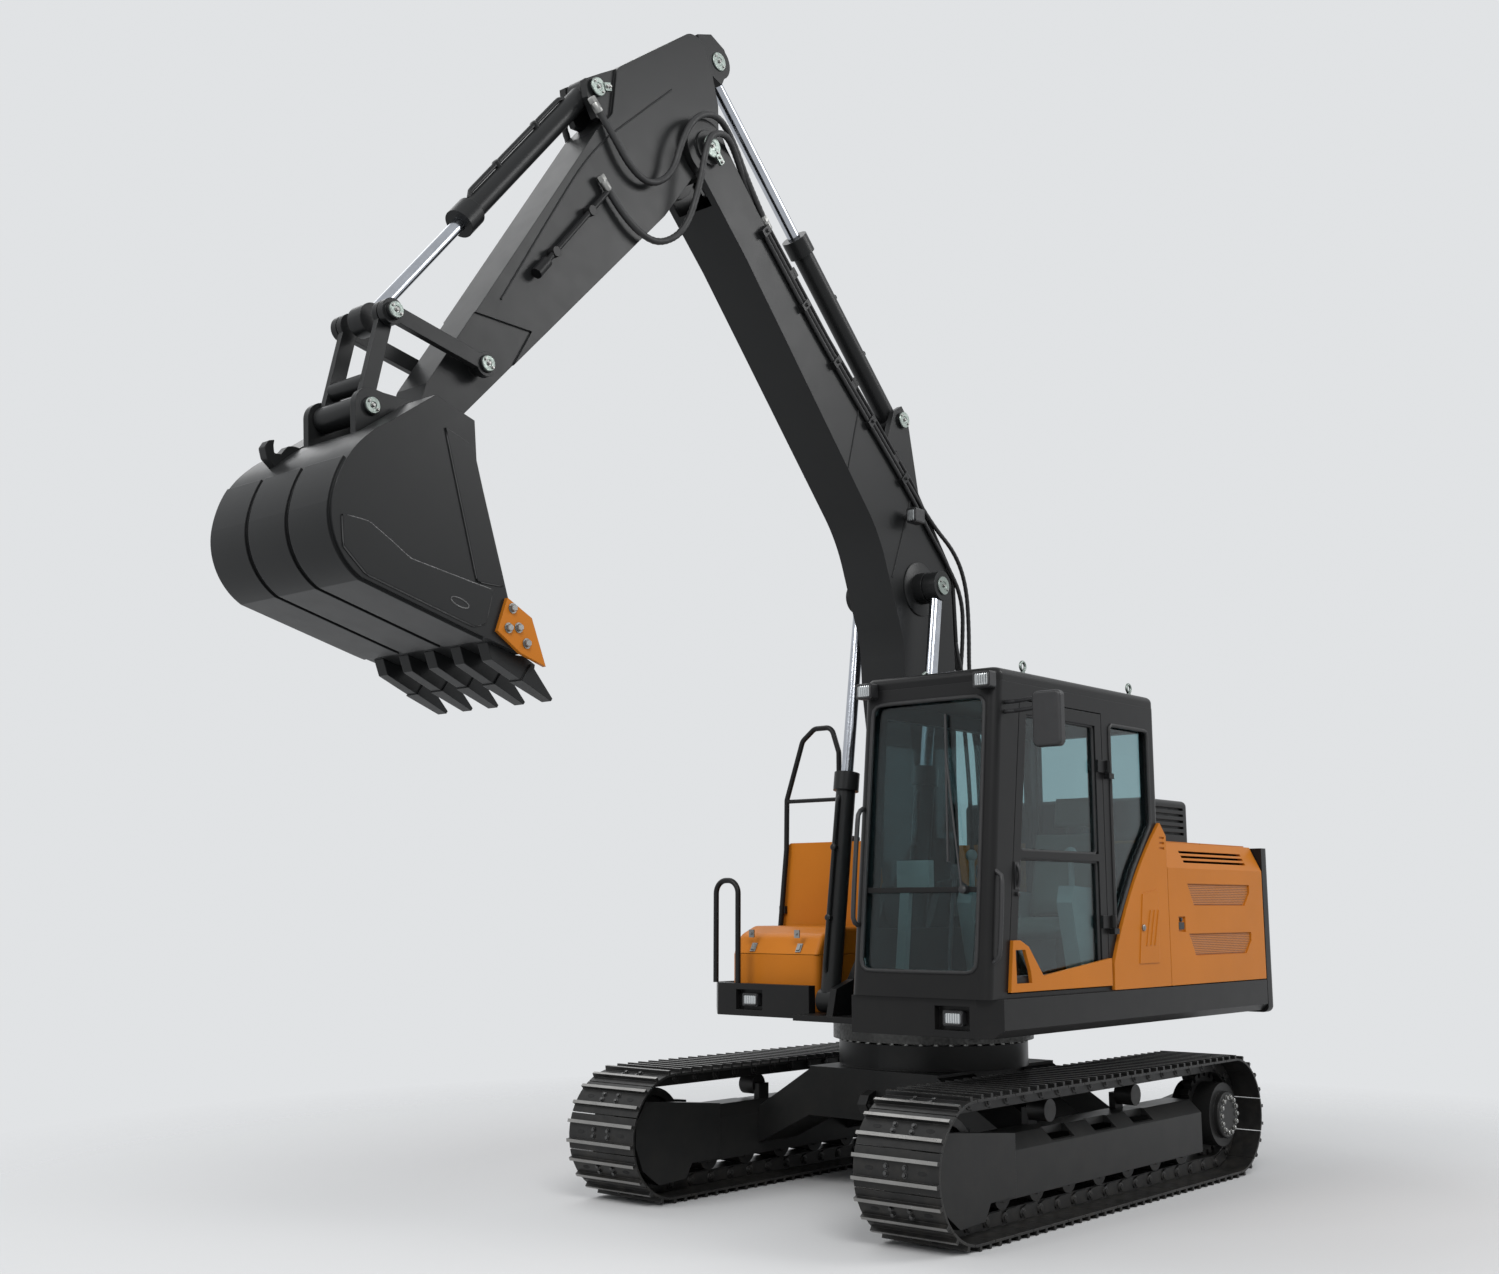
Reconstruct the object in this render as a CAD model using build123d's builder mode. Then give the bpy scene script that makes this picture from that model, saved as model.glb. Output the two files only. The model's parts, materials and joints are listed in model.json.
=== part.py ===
"""Crawler excavator: undercarriage, slewing upper structure, cab, boom, arm and bucket.

Millimetres. +X forward, +Y left, +Z up; the origin is on the ground below the slew axis.
Pin centres and outlines of the working equipment are (x, z) in the pose that the machine is stored in.
"""
import math
import os

from build123d import *

# Undercarriage
gauge = 1990
shoe_width = 500
shoe_count = 44
shoe_gap = 6
tumbler_distance = 2900
track_radius = 360
grouser_height = 22
grouser_width = 18
grouser_root = 4
shoe_thickness = 12
link_height = 76
link_half_width = 75
frame_half_width = 150
frame_wall = 45
frame_top = 470
frame_shoulder = 400
frame_foot = 170
beam_end_gap = 300
roller_radius = 77.7
roller_half = 88
roller_shaft = 40
roller_count = 7
roller_end_gap = 460
carrier_radius = 60
carrier_x = 480
seat_gap = 0.3
sprocket_teeth = 21
car_body_radius = 560
car_body_top = 840
race_radius = 520
race_gap = 0.4

# Upper structure
half_width = 1245
deck_bottom = 967
deck_thickness = 33
skirt_top = 1159
skirt_depth = 60
cab_side_front = 1290
tool_side_front = 650
tail_radius = 2415
counterweight_cheek = 105
hood_top = 2010
crease_drop = 165
panel_thickness = 30
side_panel_thickness = 20
panel_gap = 6

# Cab
cab_width = 855
cab_rear = -600
cab_height = 1621
cab_front_low = 1310
cab_front_high = 1150
cab_wall = 60
cab_corner = 55
roof_thickness = 70
glass_thickness = 12
pane_set = 24
door_rear = 70
door_front_low = 1120
door_front_high = 930
door_border = 70
door_gap = 6

# Working equipment
boom_half = 160
boom_wall = 20
arm_half = 115
arm_wall = 16
bracket_inner = 170
bracket_outer = 215
cylinder_offset = 285
pin_radius = 50
small_pin = 40
pin_gap = 0.4
side_gap = 5
ear_inner = 150
ear_outer = 185
link_inner = 112
link_outer = 142
arm_tip_half = 105
bucket_half = 430
bucket_plate = 25
tooth_count = 5
tooth_span = 720

# Pin centres
boom_foot = (100, 1620)
boom_cylinder_foot = (634, 1078)
boom_cylinder_eye = (294, 3513)
boom_tip = (2219, 5647)
arm_cylinder_foot = (359, 4569)
arm_cylinder_eye = (2057, 6238)
bucket_cylinder_foot = (2991, 5708)
rocker_pivot = (3728.5, 4040)
link_top = (4254, 4142)
link_foot = (4350, 3695)
bucket_pivot = (3980, 3700)

# Sizes that follow
track_y = gauge / 2
frame_length = tumbler_distance - 2 * beam_end_gap
plate_radius = track_radius - grouser_height
chain_radius = plate_radius - shoe_thickness
rail_radius = chain_radius - link_height
tumbler_x = tumbler_distance / 2
deck_top = deck_bottom + deck_thickness
deck_edge = half_width - skirt_depth
tail_edge = -math.sqrt(tail_radius**2 - half_width**2)
crease_height = hood_top - crease_drop
rear_face = tail_edge + counterweight_cheek
counterweight_front = rear_face - 8
cab_outer = half_width - side_panel_thickness
cab_inner = cab_outer - cab_width
cab_floor = skirt_top
cab_top = cab_floor + cab_height
tool_inner = -(cab_inner + 60)

os.makedirs("parts", exist_ok=True)


def slab(points, y_low, y_high, mode=Mode.ADD):
    """Plate with an outline of (x, z) points, between two y positions."""
    with BuildSketch(Plane.XZ.offset(-y_high)) as outline:
        with BuildLine():
            Polyline(*points, close=True)
        make_face()
    extrude(outline.sketch, amount=y_high - y_low, mode=mode)


def slab_pair(points, y_inner, y_outer, mode=Mode.ADD):
    """Two mirrored plates, left and right of the centre plane."""
    slab(points, y_inner, y_outer, mode)
    slab(points, -y_outer, -y_inner, mode)


def cross_cylinder(centre, radius, y_low, y_high, mode=Mode.ADD):
    """Round boss, pin or bore along Y."""
    with Locations((centre[0], (y_low + y_high) / 2, centre[1])):
        Cylinder(radius, abs(y_high - y_low), rotation=(90, 0, 0), mode=mode)


def cross_pair(centre, radius, y_inner, y_outer, mode=Mode.ADD):
    """Two mirrored bosses, pins or bores along Y."""
    cross_cylinder(centre, radius, y_inner, y_outer, mode)
    cross_cylinder(centre, radius, -y_outer, -y_inner, mode)


def block(low, high, mode=Mode.ADD):
    """Box between two opposite corners."""
    with Locations(tuple((a + b) / 2 for a, b in zip(low, high))):
        Box(*(b - a for a, b in zip(low, high)), mode=mode)


def bar(start, end, radius, mode=Mode.ADD):
    """Round bar from one point to another."""
    axis = Vector(*end) - Vector(*start)
    with BuildSketch(Plane(origin=start, z_dir=axis)) as section:
        Circle(radius)
    extrude(section.sketch, amount=axis.length, mode=mode)


def tube(points, radius, bend):
    """Bent round bar through corner points."""
    with BuildLine() as route:
        FilletPolyline(*points, radius=bend)
    with BuildSketch(Plane(origin=route.line @ 0, z_dir=route.line % 0)) as section:
        Circle(radius)
    sweep(section.sketch, path=route.line)


def along(start, end, distance):
    """Point (x, z) at a distance from start towards end."""
    length = math.dist(start, end)
    return tuple(a + (b - a) * distance / length for a, b in zip(start, end))


def beside(start, end, distance, height):
    """Point (x, z) at a distance from start towards end, raised to the left of that line."""
    length = math.dist(start, end)
    x, z = along(start, end, distance)
    return (x - (end[1] - start[1]) / length * height, z + (end[0] - start[0]) / length * height)


def at_y(point, y):
    """Point (x, z) set at a y position."""
    return (point[0], y, point[1])


def save(builder, name):
    """Label a finished piece and write its STEP file."""
    builder.part.label = name
    export_step(builder.part, f"parts/{name}.step")


def track_place(travel, radius):
    """Place on the track loop, after a travel along the chain's pins, with local +Y outward."""
    pitch_radius = rail_radius + link_height / 2
    arc = math.pi * pitch_radius
    if travel < tumbler_distance:
        return Location((travel - tumbler_x, track_radius - radius, 0), (0, 0, 180))
    if travel < tumbler_distance + arc:
        turn = (travel - tumbler_distance) / pitch_radius - math.pi / 2
        centre_x = tumbler_x
    elif travel < 2 * tumbler_distance + arc:
        run = travel - tumbler_distance - arc
        return Location((tumbler_x - run, track_radius + radius, 0), (0, 0, 0))
    else:
        turn = (travel - 2 * tumbler_distance - arc) / pitch_radius + math.pi / 2
        centre_x = -tumbler_x
    x = centre_x + radius * math.cos(turn)
    z = track_radius + radius * math.sin(turn)
    return Location((x, z, 0), (0, 0, math.degrees(turn) - 90))


def make_track(side):
    """Closed loop of parted shoes with two grousers each, on a band of chain links."""
    loop_length = 2 * tumbler_distance + 2 * math.pi * (rail_radius + link_height / 2)
    spacing = loop_length / (2 * shoe_count)
    grouser_middle = plate_radius + (grouser_height - grouser_root) / 2
    plate_middle = plate_radius - shoe_thickness / 2
    grousers = [track_place(spacing * (n + 0.5), grouser_middle) for n in range(2 * shoe_count)]
    gaps = [track_place(spacing * 2 * n, plate_middle) for n in range(shoe_count)]
    y_high = side * track_y + shoe_width / 2
    with BuildPart() as track:
        with BuildSketch(Plane.XZ.offset(-y_high)) as shoes:
            with Locations((0, track_radius)):
                SlotCenterToCenter(tumbler_distance, 2 * plate_radius)
            with Locations(*grousers):
                Rectangle(grouser_width, grouser_height + grouser_root)
            with Locations(*gaps):
                Rectangle(shoe_gap, 2 * shoe_thickness, mode=Mode.SUBTRACT)
            with Locations((0, track_radius)):
                SlotCenterToCenter(tumbler_distance, 2 * chain_radius, mode=Mode.SUBTRACT)
        extrude(amount=shoe_width)
        with BuildSketch(Plane.XZ.offset(-side * track_y - link_half_width)) as chain:
            with Locations((0, track_radius)):
                SlotCenterToCenter(tumbler_distance, 2 * chain_radius + shoe_thickness)
                SlotCenterToCenter(tumbler_distance, 2 * rail_radius, mode=Mode.SUBTRACT)
        extrude(amount=2 * link_half_width)
    return track


yoke_half = frame_half_width - frame_wall
beam_half = frame_length / 2
guard_outline = [
    (beam_half - 170, 185), (beam_half + 70, 180), (beam_half + 120, 100), (tumbler_x + 40, 90),
    (tumbler_x + 170, 180), (tumbler_x + 225, 310), (tumbler_x + 225, 440), (tumbler_x + 150, 550),
    (beam_half - 170, 490),
]
drive_plate = [
    (40 - beam_half, 200), (-tumbler_x - 60, 230), (-tumbler_x - 60, 480), (40 - beam_half, 440),
]
guard_thickness = 60
upper_hollow = 110
lower_hollow = 130
top_slots = (-560, -120, 340)
top_slot_length = 230
carrier_post = 45


def make_track_frame(side):
    """Box beam with roller flanges below, idler guards in front and drive flange behind."""
    middle = side * track_y
    section = [
        (-frame_half_width, frame_foot), (-frame_half_width, frame_shoulder),
        (-frame_half_width / 2, frame_top),
        (frame_half_width / 2, frame_top), (frame_half_width, frame_shoulder),
        (frame_half_width, frame_foot),
    ]
    with BuildPart() as frame:
        with BuildSketch(Plane.YZ.offset(-beam_half)) as beam:
            with BuildLine():
                Polyline(*[(middle + y, z) for y, z in section], close=True)
            make_face()
            with Locations((middle, frame_foot - 5 + lower_hollow / 2)):
                Rectangle(2 * yoke_half, lower_hollow, mode=Mode.SUBTRACT)
            with Locations((middle, frame_top - 40 - upper_hollow / 2)):
                Rectangle(2 * yoke_half, upper_hollow, mode=Mode.SUBTRACT)
        extrude(amount=frame_length)
        for x in top_slots:
            y_low = min(side * (track_y + 55), side * (track_y + frame_half_width + 5))
            block(
                (x, y_low, frame_shoulder + 10),
                (x + top_slot_length, y_low + frame_half_width - 50, frame_top + 10),
                Mode.SUBTRACT,
            )
        slab(guard_outline, middle + yoke_half, middle + yoke_half + guard_thickness)
        slab(guard_outline, middle - yoke_half - guard_thickness, middle - yoke_half)
        inner_wall = sorted((side * (track_y - frame_half_width), side * (track_y - yoke_half)))
        slab(drive_plate, *inner_wall)
        post = sorted((side * (track_y - 75), side * (track_y - 35)))
        for x in (-carrier_x, carrier_x):
            block((x - carrier_post, post[0], frame_top - 40), (x + carrier_post, post[1], carrier_z + 10))
    return frame


def make_left_and_right(make, name):
    """Write the left and the right copy of a piece."""
    for side, word in ((1, "left"), (-1, "right")):
        save(make(side), f"{name}_{word}")


carrier_z = track_radius + rail_radius - carrier_radius
roller_z = track_radius - rail_radius + roller_radius
roller_pitch = (tumbler_distance - 2 * roller_end_gap) / (roller_count - 1)
make_left_and_right(make_track, "track")
make_left_and_right(make_track_frame, "track_frame")

# Wheels that the tracks run over
idler_half = 62
idler_web = 30
idler_rim = 45
idler_hub = 70
with BuildPart() as idlers:
    for side in (-1, 1):
        middle = side * track_y
        centre = (tumbler_x, track_radius)
        cross_cylinder(centre, rail_radius - seat_gap, middle - idler_half, middle + idler_half)
        cross_cylinder(
            centre, rail_radius - idler_rim, middle + idler_web, middle + idler_half, Mode.SUBTRACT
        )
        cross_cylinder(
            centre, rail_radius - idler_rim, middle - idler_half, middle - idler_web, Mode.SUBTRACT
        )
        cross_cylinder(centre, idler_hub, middle - yoke_half, middle + yoke_half)
save(idlers, "idlers")

drive_radius = 190
sprocket_half = 28
tooth_root = 30
tooth_size = (46, 36)
with BuildPart() as sprockets:
    for side in (-1, 1):
        with BuildSketch(Plane.XZ.offset(-side * track_y - sprocket_half)) as ring:
            with Locations((-tumbler_x, track_radius)):
                Circle(rail_radius - tooth_root)
                with PolarLocations(rail_radius - tooth_root + 6, sprocket_teeth):
                    Rectangle(*tooth_size)
                Circle(rail_radius - seat_gap, mode=Mode.INTERSECT)
                Circle(drive_radius + seat_gap, mode=Mode.SUBTRACT)
        extrude(amount=2 * sprocket_half)
save(sprockets, "sprockets")

drive_outer = 150
drive_cover = 35
drive_step = 50
with BuildPart() as final_drives:
    for side in (-1, 1):
        centre = (-tumbler_x, track_radius)
        outer = side * (track_y + drive_outer)
        cross_cylinder(centre, drive_radius, side * (track_y - yoke_half), outer)
        cross_cylinder(centre, drive_radius - drive_step, outer, outer + side * drive_cover)
    fillet(final_drives.faces().sort_by(Axis.Y)[0].edges(), 12)
    fillet(final_drives.faces().sort_by(Axis.Y)[-1].edges(), 12)
save(final_drives, "final_drives")

with BuildPart() as track_rollers:
    for side in (-1, 1):
        for n in range(roller_count):
            centre = ((n - (roller_count - 1) / 2) * roller_pitch, roller_z)
            cross_cylinder(
                centre, roller_radius - seat_gap, side * track_y - roller_half, side * track_y + roller_half
            )
            cross_cylinder(centre, roller_shaft, side * track_y - yoke_half, side * track_y + yoke_half)
save(track_rollers, "track_rollers")

with BuildPart() as carrier_rollers:
    for side in (-1, 1):
        for x in (-carrier_x, carrier_x):
            ends = (side * (track_y - 35), side * (track_y + 75))
            cross_cylinder((x, carrier_z), carrier_radius - seat_gap, *ends)
save(carrier_rollers, "carrier_rollers")

# Centre of the undercarriage and the slew bearing
leg_foot = track_y - frame_half_width
hub_bottom = 420
hub_top = 700
hub_length = 620
hub_half = 450
leg_length = 360
leg_starts = (-hub_length, hub_length - leg_length)
leg_root = hub_half - 10
leg_profile = [(leg_root, 430), (leg_root, 690), (leg_foot, 440), (leg_foot, 230)]
manhole = 300
tow_lug_half = 30
tow_eye = (675, 520)
tow_eye_radius = 28
tow_lug = [(600, 440), (600, 600), (690, 570), (720, 520), (690, 470)]
with BuildPart() as car_body:
    block((-hub_length, -hub_half, hub_bottom), (hub_length, hub_half, hub_top))
    with Locations((0, 0, (hub_top + car_body_top) / 2)):
        Cylinder(car_body_radius, car_body_top - hub_top)
    for side in (-1, 1):
        for x in leg_starts:
            with BuildSketch(Plane.YZ.offset(x)) as leg:
                with BuildLine():
                    Polyline(*[(side * y, z) for y, z in leg_profile], close=True)
                make_face()
            extrude(amount=leg_length)
    with Locations((0, 0, (hub_bottom + car_body_top) / 2)):
        Cylinder(manhole, car_body_top - hub_bottom + 20, mode=Mode.SUBTRACT)
    slab(tow_lug, -tow_lug_half, tow_lug_half)
    cross_cylinder(tow_eye, tow_eye_radius, -tow_lug_half - 5, tow_lug_half + 5, Mode.SUBTRACT)
save(car_body, "car_body")

race_width = 120
race_flange = 75
race_play = 12
with BuildPart() as lower_race:
    with BuildSketch(Plane.XY.offset(car_body_top)):
        Circle(race_radius)
        Circle(race_radius - race_width, mode=Mode.SUBTRACT)
    extrude(amount=deck_bottom - car_body_top - race_play - 3)
save(lower_race, "slew_race_lower")

with BuildPart() as upper_race:
    with BuildSketch(Plane.XY.offset(car_body_top + race_play)):
        Circle(race_radius + race_flange)
        Circle(race_radius + race_gap, mode=Mode.SUBTRACT)
    extrude(amount=deck_bottom - car_body_top - race_play)
save(upper_race, "slew_race_upper")

# Slewing frame
notch_front = 800
bracket_outline = [
    (-600, deck_top), (-90, 1740), (40, 1790), (200, 1760), (290, 1560), (560, 1200), (720, 1150),
    (760, deck_top),
]
with BuildPart() as main_frame:
    with BuildSketch(Plane.XY.offset(deck_bottom)):
        with BuildLine():
            Polyline(
                (counterweight_front, -deck_edge), (tool_side_front - skirt_depth, -deck_edge),
                (tool_side_front - skirt_depth, tool_inner), (notch_front, tool_inner),
                (notch_front, cab_inner),
                (cab_side_front - skirt_depth, cab_inner), (cab_side_front - skirt_depth, deck_edge),
                (counterweight_front, deck_edge), close=True,
            )
        make_face()
    extrude(amount=deck_thickness)
    slab_pair(bracket_outline, bracket_inner, bracket_outer)
    cross_cylinder(boom_foot, pin_radius, -bracket_outer - 25, bracket_outer + 25)
    cross_pair(boom_cylinder_foot, pin_radius - 8, bracket_outer, cylinder_offset + 58)
save(main_frame, "main_frame")

bay_front = -640
bay_rear = rear_face + 4
bay_hinge_pin = 8
bay_hinge_top = 1740
bay_hinge_inset = 15
lamp_recess = (45, 210, 120)
lamp_size = (38, 120, 76)
skirt_lamps = ((cab_side_front, 1000), (tool_side_front, -892))
lamp_z = (deck_bottom + skirt_top) / 2


def hinge_point(side, z):
    """Point on the hinge axis of a bay door."""
    return (bay_rear + bay_hinge_inset, side * (half_width - panel_thickness / 2), z)


with BuildPart() as skirts:
    for side, front in ((1, cab_side_front), (-1, tool_side_front)):
        inner = cab_inner if side > 0 else -tool_inner
        with BuildSketch(Plane.XY.offset(deck_bottom)):
            with BuildLine():
                Polyline(
                    (rear_face, side * deck_edge), (front - skirt_depth, side * deck_edge),
                    (front - skirt_depth, side * inner), (front, side * inner),
                    (front, side * (deck_edge - 40)),
                    (front - skirt_depth - 40, side * half_width), (rear_face, side * half_width),
                    close=True,
                )
            make_face()
        extrude(amount=skirt_top - deck_bottom)
    outer_edges = skirts.edges().filter_by(Axis.X).group_by(Axis.Z)[0]
    chamfer([outer_edges.sort_by(Axis.Y)[0], outer_edges.sort_by(Axis.Y)[-1]], 40)
    for front, y in skirt_lamps:
        with Locations((front, y, lamp_z)):
            Box(2 * lamp_recess[0], lamp_recess[1], lamp_recess[2], mode=Mode.SUBTRACT)
    for side in (-1, 1):
        bar(hinge_point(side, skirt_top - 20), hinge_point(side, bay_hinge_top - 10), bay_hinge_pin)
save(skirts, "side_skirts")

tank_inner = tool_inner - 20
counterweight_bottom = deck_bottom - 15
counterweight_top = hood_top - 15
lifting_x = rear_face - 96
lifting_y = 500
lifting_radius = 18
lifting_depth = 80
tail_corner = 70
tail_foot = 40
slope_drop = 270
slope_overrun = 155
slope_rise = 40
with BuildPart() as counterweight:
    with BuildSketch(Plane.XY.offset(counterweight_bottom)):
        with BuildLine():
            Polyline(
                (tail_edge, half_width), (counterweight_front, half_width),
                (counterweight_front, -half_width),
                (tail_edge, -half_width),
            )
            ThreePointArc((tail_edge, -half_width), (-tail_radius, 0), (tail_edge, half_width))
        make_face()
    extrude(amount=counterweight_top - counterweight_bottom)
    slab(
        [(tail_edge + 10, hood_top + slope_rise), (-tail_radius - slope_overrun, hood_top - slope_drop),
         (-tail_radius - slope_overrun, hood_top + slope_rise)],
        -half_width - 10, half_width + 10, Mode.SUBTRACT,
    )
    fillet(counterweight.edges().filter_by(Axis.Z).group_by(Axis.X)[0], tail_corner)
    fillet(counterweight.faces().sort_by(Axis.Z)[0].edges().sort_by(Axis.X)[0], tail_foot)
    with Locations((lifting_x, -lifting_y, counterweight_top), (lifting_x, lifting_y, counterweight_top)):
        Hole(lifting_radius, lifting_depth)
save(counterweight, "counterweight")

# Engine bay
slope_inset = 75
engine_rear_gap = 164
engine_front_gap = 120
engine_tank_gap = 120
engine_door_gap = 625
engine_height = 720
engine_low = (rear_face + engine_rear_gap, tank_inner + engine_tank_gap, deck_top)
engine_high = (bay_front - engine_front_gap, half_width - engine_door_gap, deck_top + engine_height)
with BuildPart() as engine:
    block(engine_low, engine_high)
save(engine, "engine")

door_foot = skirt_top + panel_gap
slope_top = hood_top - 10
door_profile = [
    (half_width, door_foot), (half_width, crease_height), (half_width - slope_inset, slope_top),
    (half_width - slope_inset - panel_thickness, slope_top),
    (half_width - panel_thickness, crease_height - 12),
    (half_width - panel_thickness, door_foot),
]
grille_front = 250
grille_rear = 200
grille_bevel = 80
grille_height = 130
grille_depth = 12
slot_count = 4
slot_height = 14
latch_x = 160
latch_size = 90
latch_z = 1516
lower_grilles = (1330, 1625)
slope_grille = (1880, 1965)
pump_grille_margin = 95
pump_door_extra = 130
tank_split = -600


def grille_outline(rear, ahead, low):
    """Outline of a grille panel with bevelled lower corners."""
    return [
        (rear, low + grille_height), (rear, low + grille_bevel), (rear + grille_bevel, low),
        (ahead - grille_bevel, low), (ahead, low + grille_height),
    ]


def make_bay_door(side, front, rear_margin, front_margin):
    """Side door of the engine bay: sunk slotted grilles, a latch pocket and a sloped upper edge."""
    skin = side * half_width
    rear = bay_rear + rear_margin
    ahead = front - front_margin
    pocket = sorted((skin - side * grille_depth, skin + side * 10))
    through = sorted((skin - side * 120, skin + side * 10))
    with BuildPart() as door:
        with BuildSketch(Plane.YZ.offset(bay_rear)):
            with BuildLine():
                Polyline(*[(side * y, z) for y, z in door_profile], close=True)
            make_face()
        extrude(amount=front - bay_rear)
        for low in lower_grilles:
            slab(grille_outline(rear, ahead, low), *pocket, Mode.SUBTRACT)
            for row in range(slot_count):
                z = low + 20 + row * (grille_height - 20) / slot_count
                block(
                    (rear + grille_bevel, through[0], z),
                    (ahead - grille_bevel, through[1], z + slot_height),
                    Mode.SUBTRACT,
                )
        for row in range(3):
            z = slope_grille[0] + row * (slope_grille[1] - slope_grille[0]) / 3
            block((rear, through[0], z), (ahead, through[1], z + slot_height), Mode.SUBTRACT)
        with Locations((front - latch_x, skin, latch_z)):
            Box(latch_size, 2 * grille_depth, latch_size, mode=Mode.SUBTRACT)
        bar(
            hinge_point(side, skirt_top), hinge_point(side, bay_hinge_top + pin_gap),
            bay_hinge_pin + pin_gap,
            Mode.SUBTRACT,
        )
    return door


save(make_bay_door(1, bay_front, grille_rear, grille_front), "engine_door_left")
pump_bay_front = (bay_rear + tank_split) / 2 + pump_door_extra
save(make_bay_door(-1, pump_bay_front, pump_grille_margin, pump_grille_margin), "pump_door_right")

hood_edge = half_width - slope_inset - panel_thickness - 8
hood_split = -1310
hood_thickness = 35
hood_pin = 7
hood_hinge = (hood_split - 22, hood_top - hood_thickness / 2)
hood_lugs = (-600, 600)
lug_half = 34
with BuildPart() as engine_hood:
    block((bay_rear, -hood_edge, hood_top - hood_thickness), (hood_split - 16, hood_edge, hood_top))
    for y in hood_lugs:
        block(
            (hood_split - 45, y - lug_half - 6, hood_top - hood_thickness - 5),
            (hood_split, y + lug_half + 6, hood_top + 5), Mode.SUBTRACT,
        )
        cross_cylinder(hood_hinge, hood_pin + pin_gap, y - 80, y + 80, Mode.SUBTRACT)
save(engine_hood, "engine_hood")

cowl_inner = 420
with BuildPart() as front_cowl:
    block((hood_split, -hood_edge, hood_top - hood_thickness), (bay_front + 10, hood_edge, hood_top))
    block((bay_front - 20, -cowl_inner, deck_top), (bay_front + 10, hood_edge, hood_top - hood_thickness))
    for y in hood_lugs:
        block((hood_split - 36, y - lug_half, hood_top - 31), (hood_split, y + lug_half, hood_top - 3))
        cross_cylinder(hood_hinge, hood_pin, y - 75, y + 75)
save(front_cowl, "front_cowl")

muffler_low = (-1280, -200, hood_top)
muffler_high = (-670, 1090, 2270)
muffler_wall = 20
louvre_count = 5
louvre_pitch = 38
louvre_height = 16
with BuildPart() as muffler_cover:
    block(muffler_low, muffler_high)
    fillet(muffler_cover.edges().filter_by(Axis.Z), 60)
    fillet(muffler_cover.faces().sort_by(Axis.Z)[-1].edges(), 35)
    block(
        (muffler_low[0] + muffler_wall, muffler_low[1] + muffler_wall, hood_top - 1),
        (muffler_high[0] - muffler_wall, muffler_high[1] - muffler_wall, muffler_high[2] - muffler_wall),
        Mode.SUBTRACT,
    )
    for row in range(louvre_count):
        z = hood_top + 45 + row * louvre_pitch
        block(
            (muffler_low[0] + 90, muffler_low[1] - 5, z),
            (muffler_high[0] - 90, muffler_high[1] + 5, z + louvre_height),
            Mode.SUBTRACT,
        )
save(muffler_cover, "muffler_cover")

fin_top = (-560, 2104)
fin_foot = (40, 1310)
fin_bulge = (-215, 1740)
panel_rear = bay_front + panel_gap
hatch_outline = [(-250, 1300), (-310, 1690), (-500, 1715), (-490, 1300)]
hatch_ribs = (-330, -380, -430)
hatch_rise = 5
with BuildPart() as left_side_panel:
    with BuildSketch(Plane.XZ.offset(-half_width)):
        with BuildLine():
            Polyline(
                fin_top, (panel_rear, hood_top + 20), (panel_rear, door_foot),
                (fin_foot[0] + 5, door_foot), fin_foot,
            )
            ThreePointArc(fin_foot, fin_bulge, fin_top)
        make_face()
    extrude(amount=side_panel_thickness)
    slab(hatch_outline, half_width, half_width + hatch_rise)
    for x in hatch_ribs:
        slab(
            [(x, 1400), (x - 12, 1400), (x - 72, 1600), (x - 60, 1600)], half_width + hatch_rise,
            half_width + 2 * hatch_rise,
        )
    for row in range(3):
        z = hood_top - 60 + row * 30
        block(
            (panel_rear + 25, half_width - 8, z), (panel_rear + 85, half_width + 5, z + 12), Mode.SUBTRACT
        )
save(left_side_panel, "left_side_panel")

# Right side: tanks, tool box and handrails
tank_front = -40
tank_outer = -half_width + 10
tank_step = skirt_top + panel_gap
tank_foot = -deck_edge + 20
tank_top = 2030
tank_lean = 95
tank_wall = 30


def make_tank(rear, front, top):
    """Hollow tank with an outer side that leans in, on a foot that stands on the deck."""
    outline = [
        (tank_outer, tank_step), (tank_outer + tank_lean / 3, 1500), (tank_outer + tank_lean, top),
        (tank_inner, top),
        (tank_inner, tank_step),
    ]
    with BuildPart() as tank:
        with BuildSketch(Plane.YZ.offset(rear)):
            with BuildLine():
                Polyline(*outline, close=True)
            make_face()
        extrude(amount=front - rear)
        fillet(tank.edges().filter_by(Axis.X).group_by(Axis.Z)[-1], 25)
        block(
            (rear + tank_wall, tank_outer + tank_lean + tank_wall, tank_step + tank_wall),
            (front - tank_wall, tank_inner - tank_wall, top - tank_wall), Mode.SUBTRACT,
        )
        block((rear + 40, tank_foot, deck_top), (front - 40, tank_inner - 40, tank_step))
    return tank


fuel_tank = make_tank(tank_split, tank_front, tank_top)
save(fuel_tank, "fuel_tank")
save(make_tank(pump_bay_front + 8, tank_split - 10, tank_top - 90), "oil_tank")

box_rear = 20
box_front = 520
box_split = 1335
box_wall = 20
box_low_y = -1150
box_high_y = tool_inner - 40
lid_top = 1500
lid_hinge = (box_rear - 15, lid_top - 20)
lid_pin = 7
lid_knuckle = 13
lid_lugs = (-1010, -640)
lug_width = 30
with BuildPart() as tool_box:
    block((box_rear, box_low_y, deck_top), (box_front, box_high_y, box_split - 3))
    fillet(tool_box.edges().filter_by(Axis.Z).group_by(Axis.X)[-1], 45)
    block(
        (box_rear + box_wall, box_low_y + box_wall, deck_top + box_wall),
        (box_front - box_wall, box_high_y - box_wall, box_split + 10), Mode.SUBTRACT,
    )
    for y in lid_lugs:
        block((box_rear - 27, y, box_split - 85), (box_rear, y + lug_width, box_split - 10))
        block((box_rear - 27, y, box_split - 15), (box_rear - 3, y + lug_width, lid_hinge[1]))
        cross_cylinder(lid_hinge, lid_knuckle - 1, y, y + lug_width)
        cross_cylinder(lid_hinge, lid_pin, y, y + 72)
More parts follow.
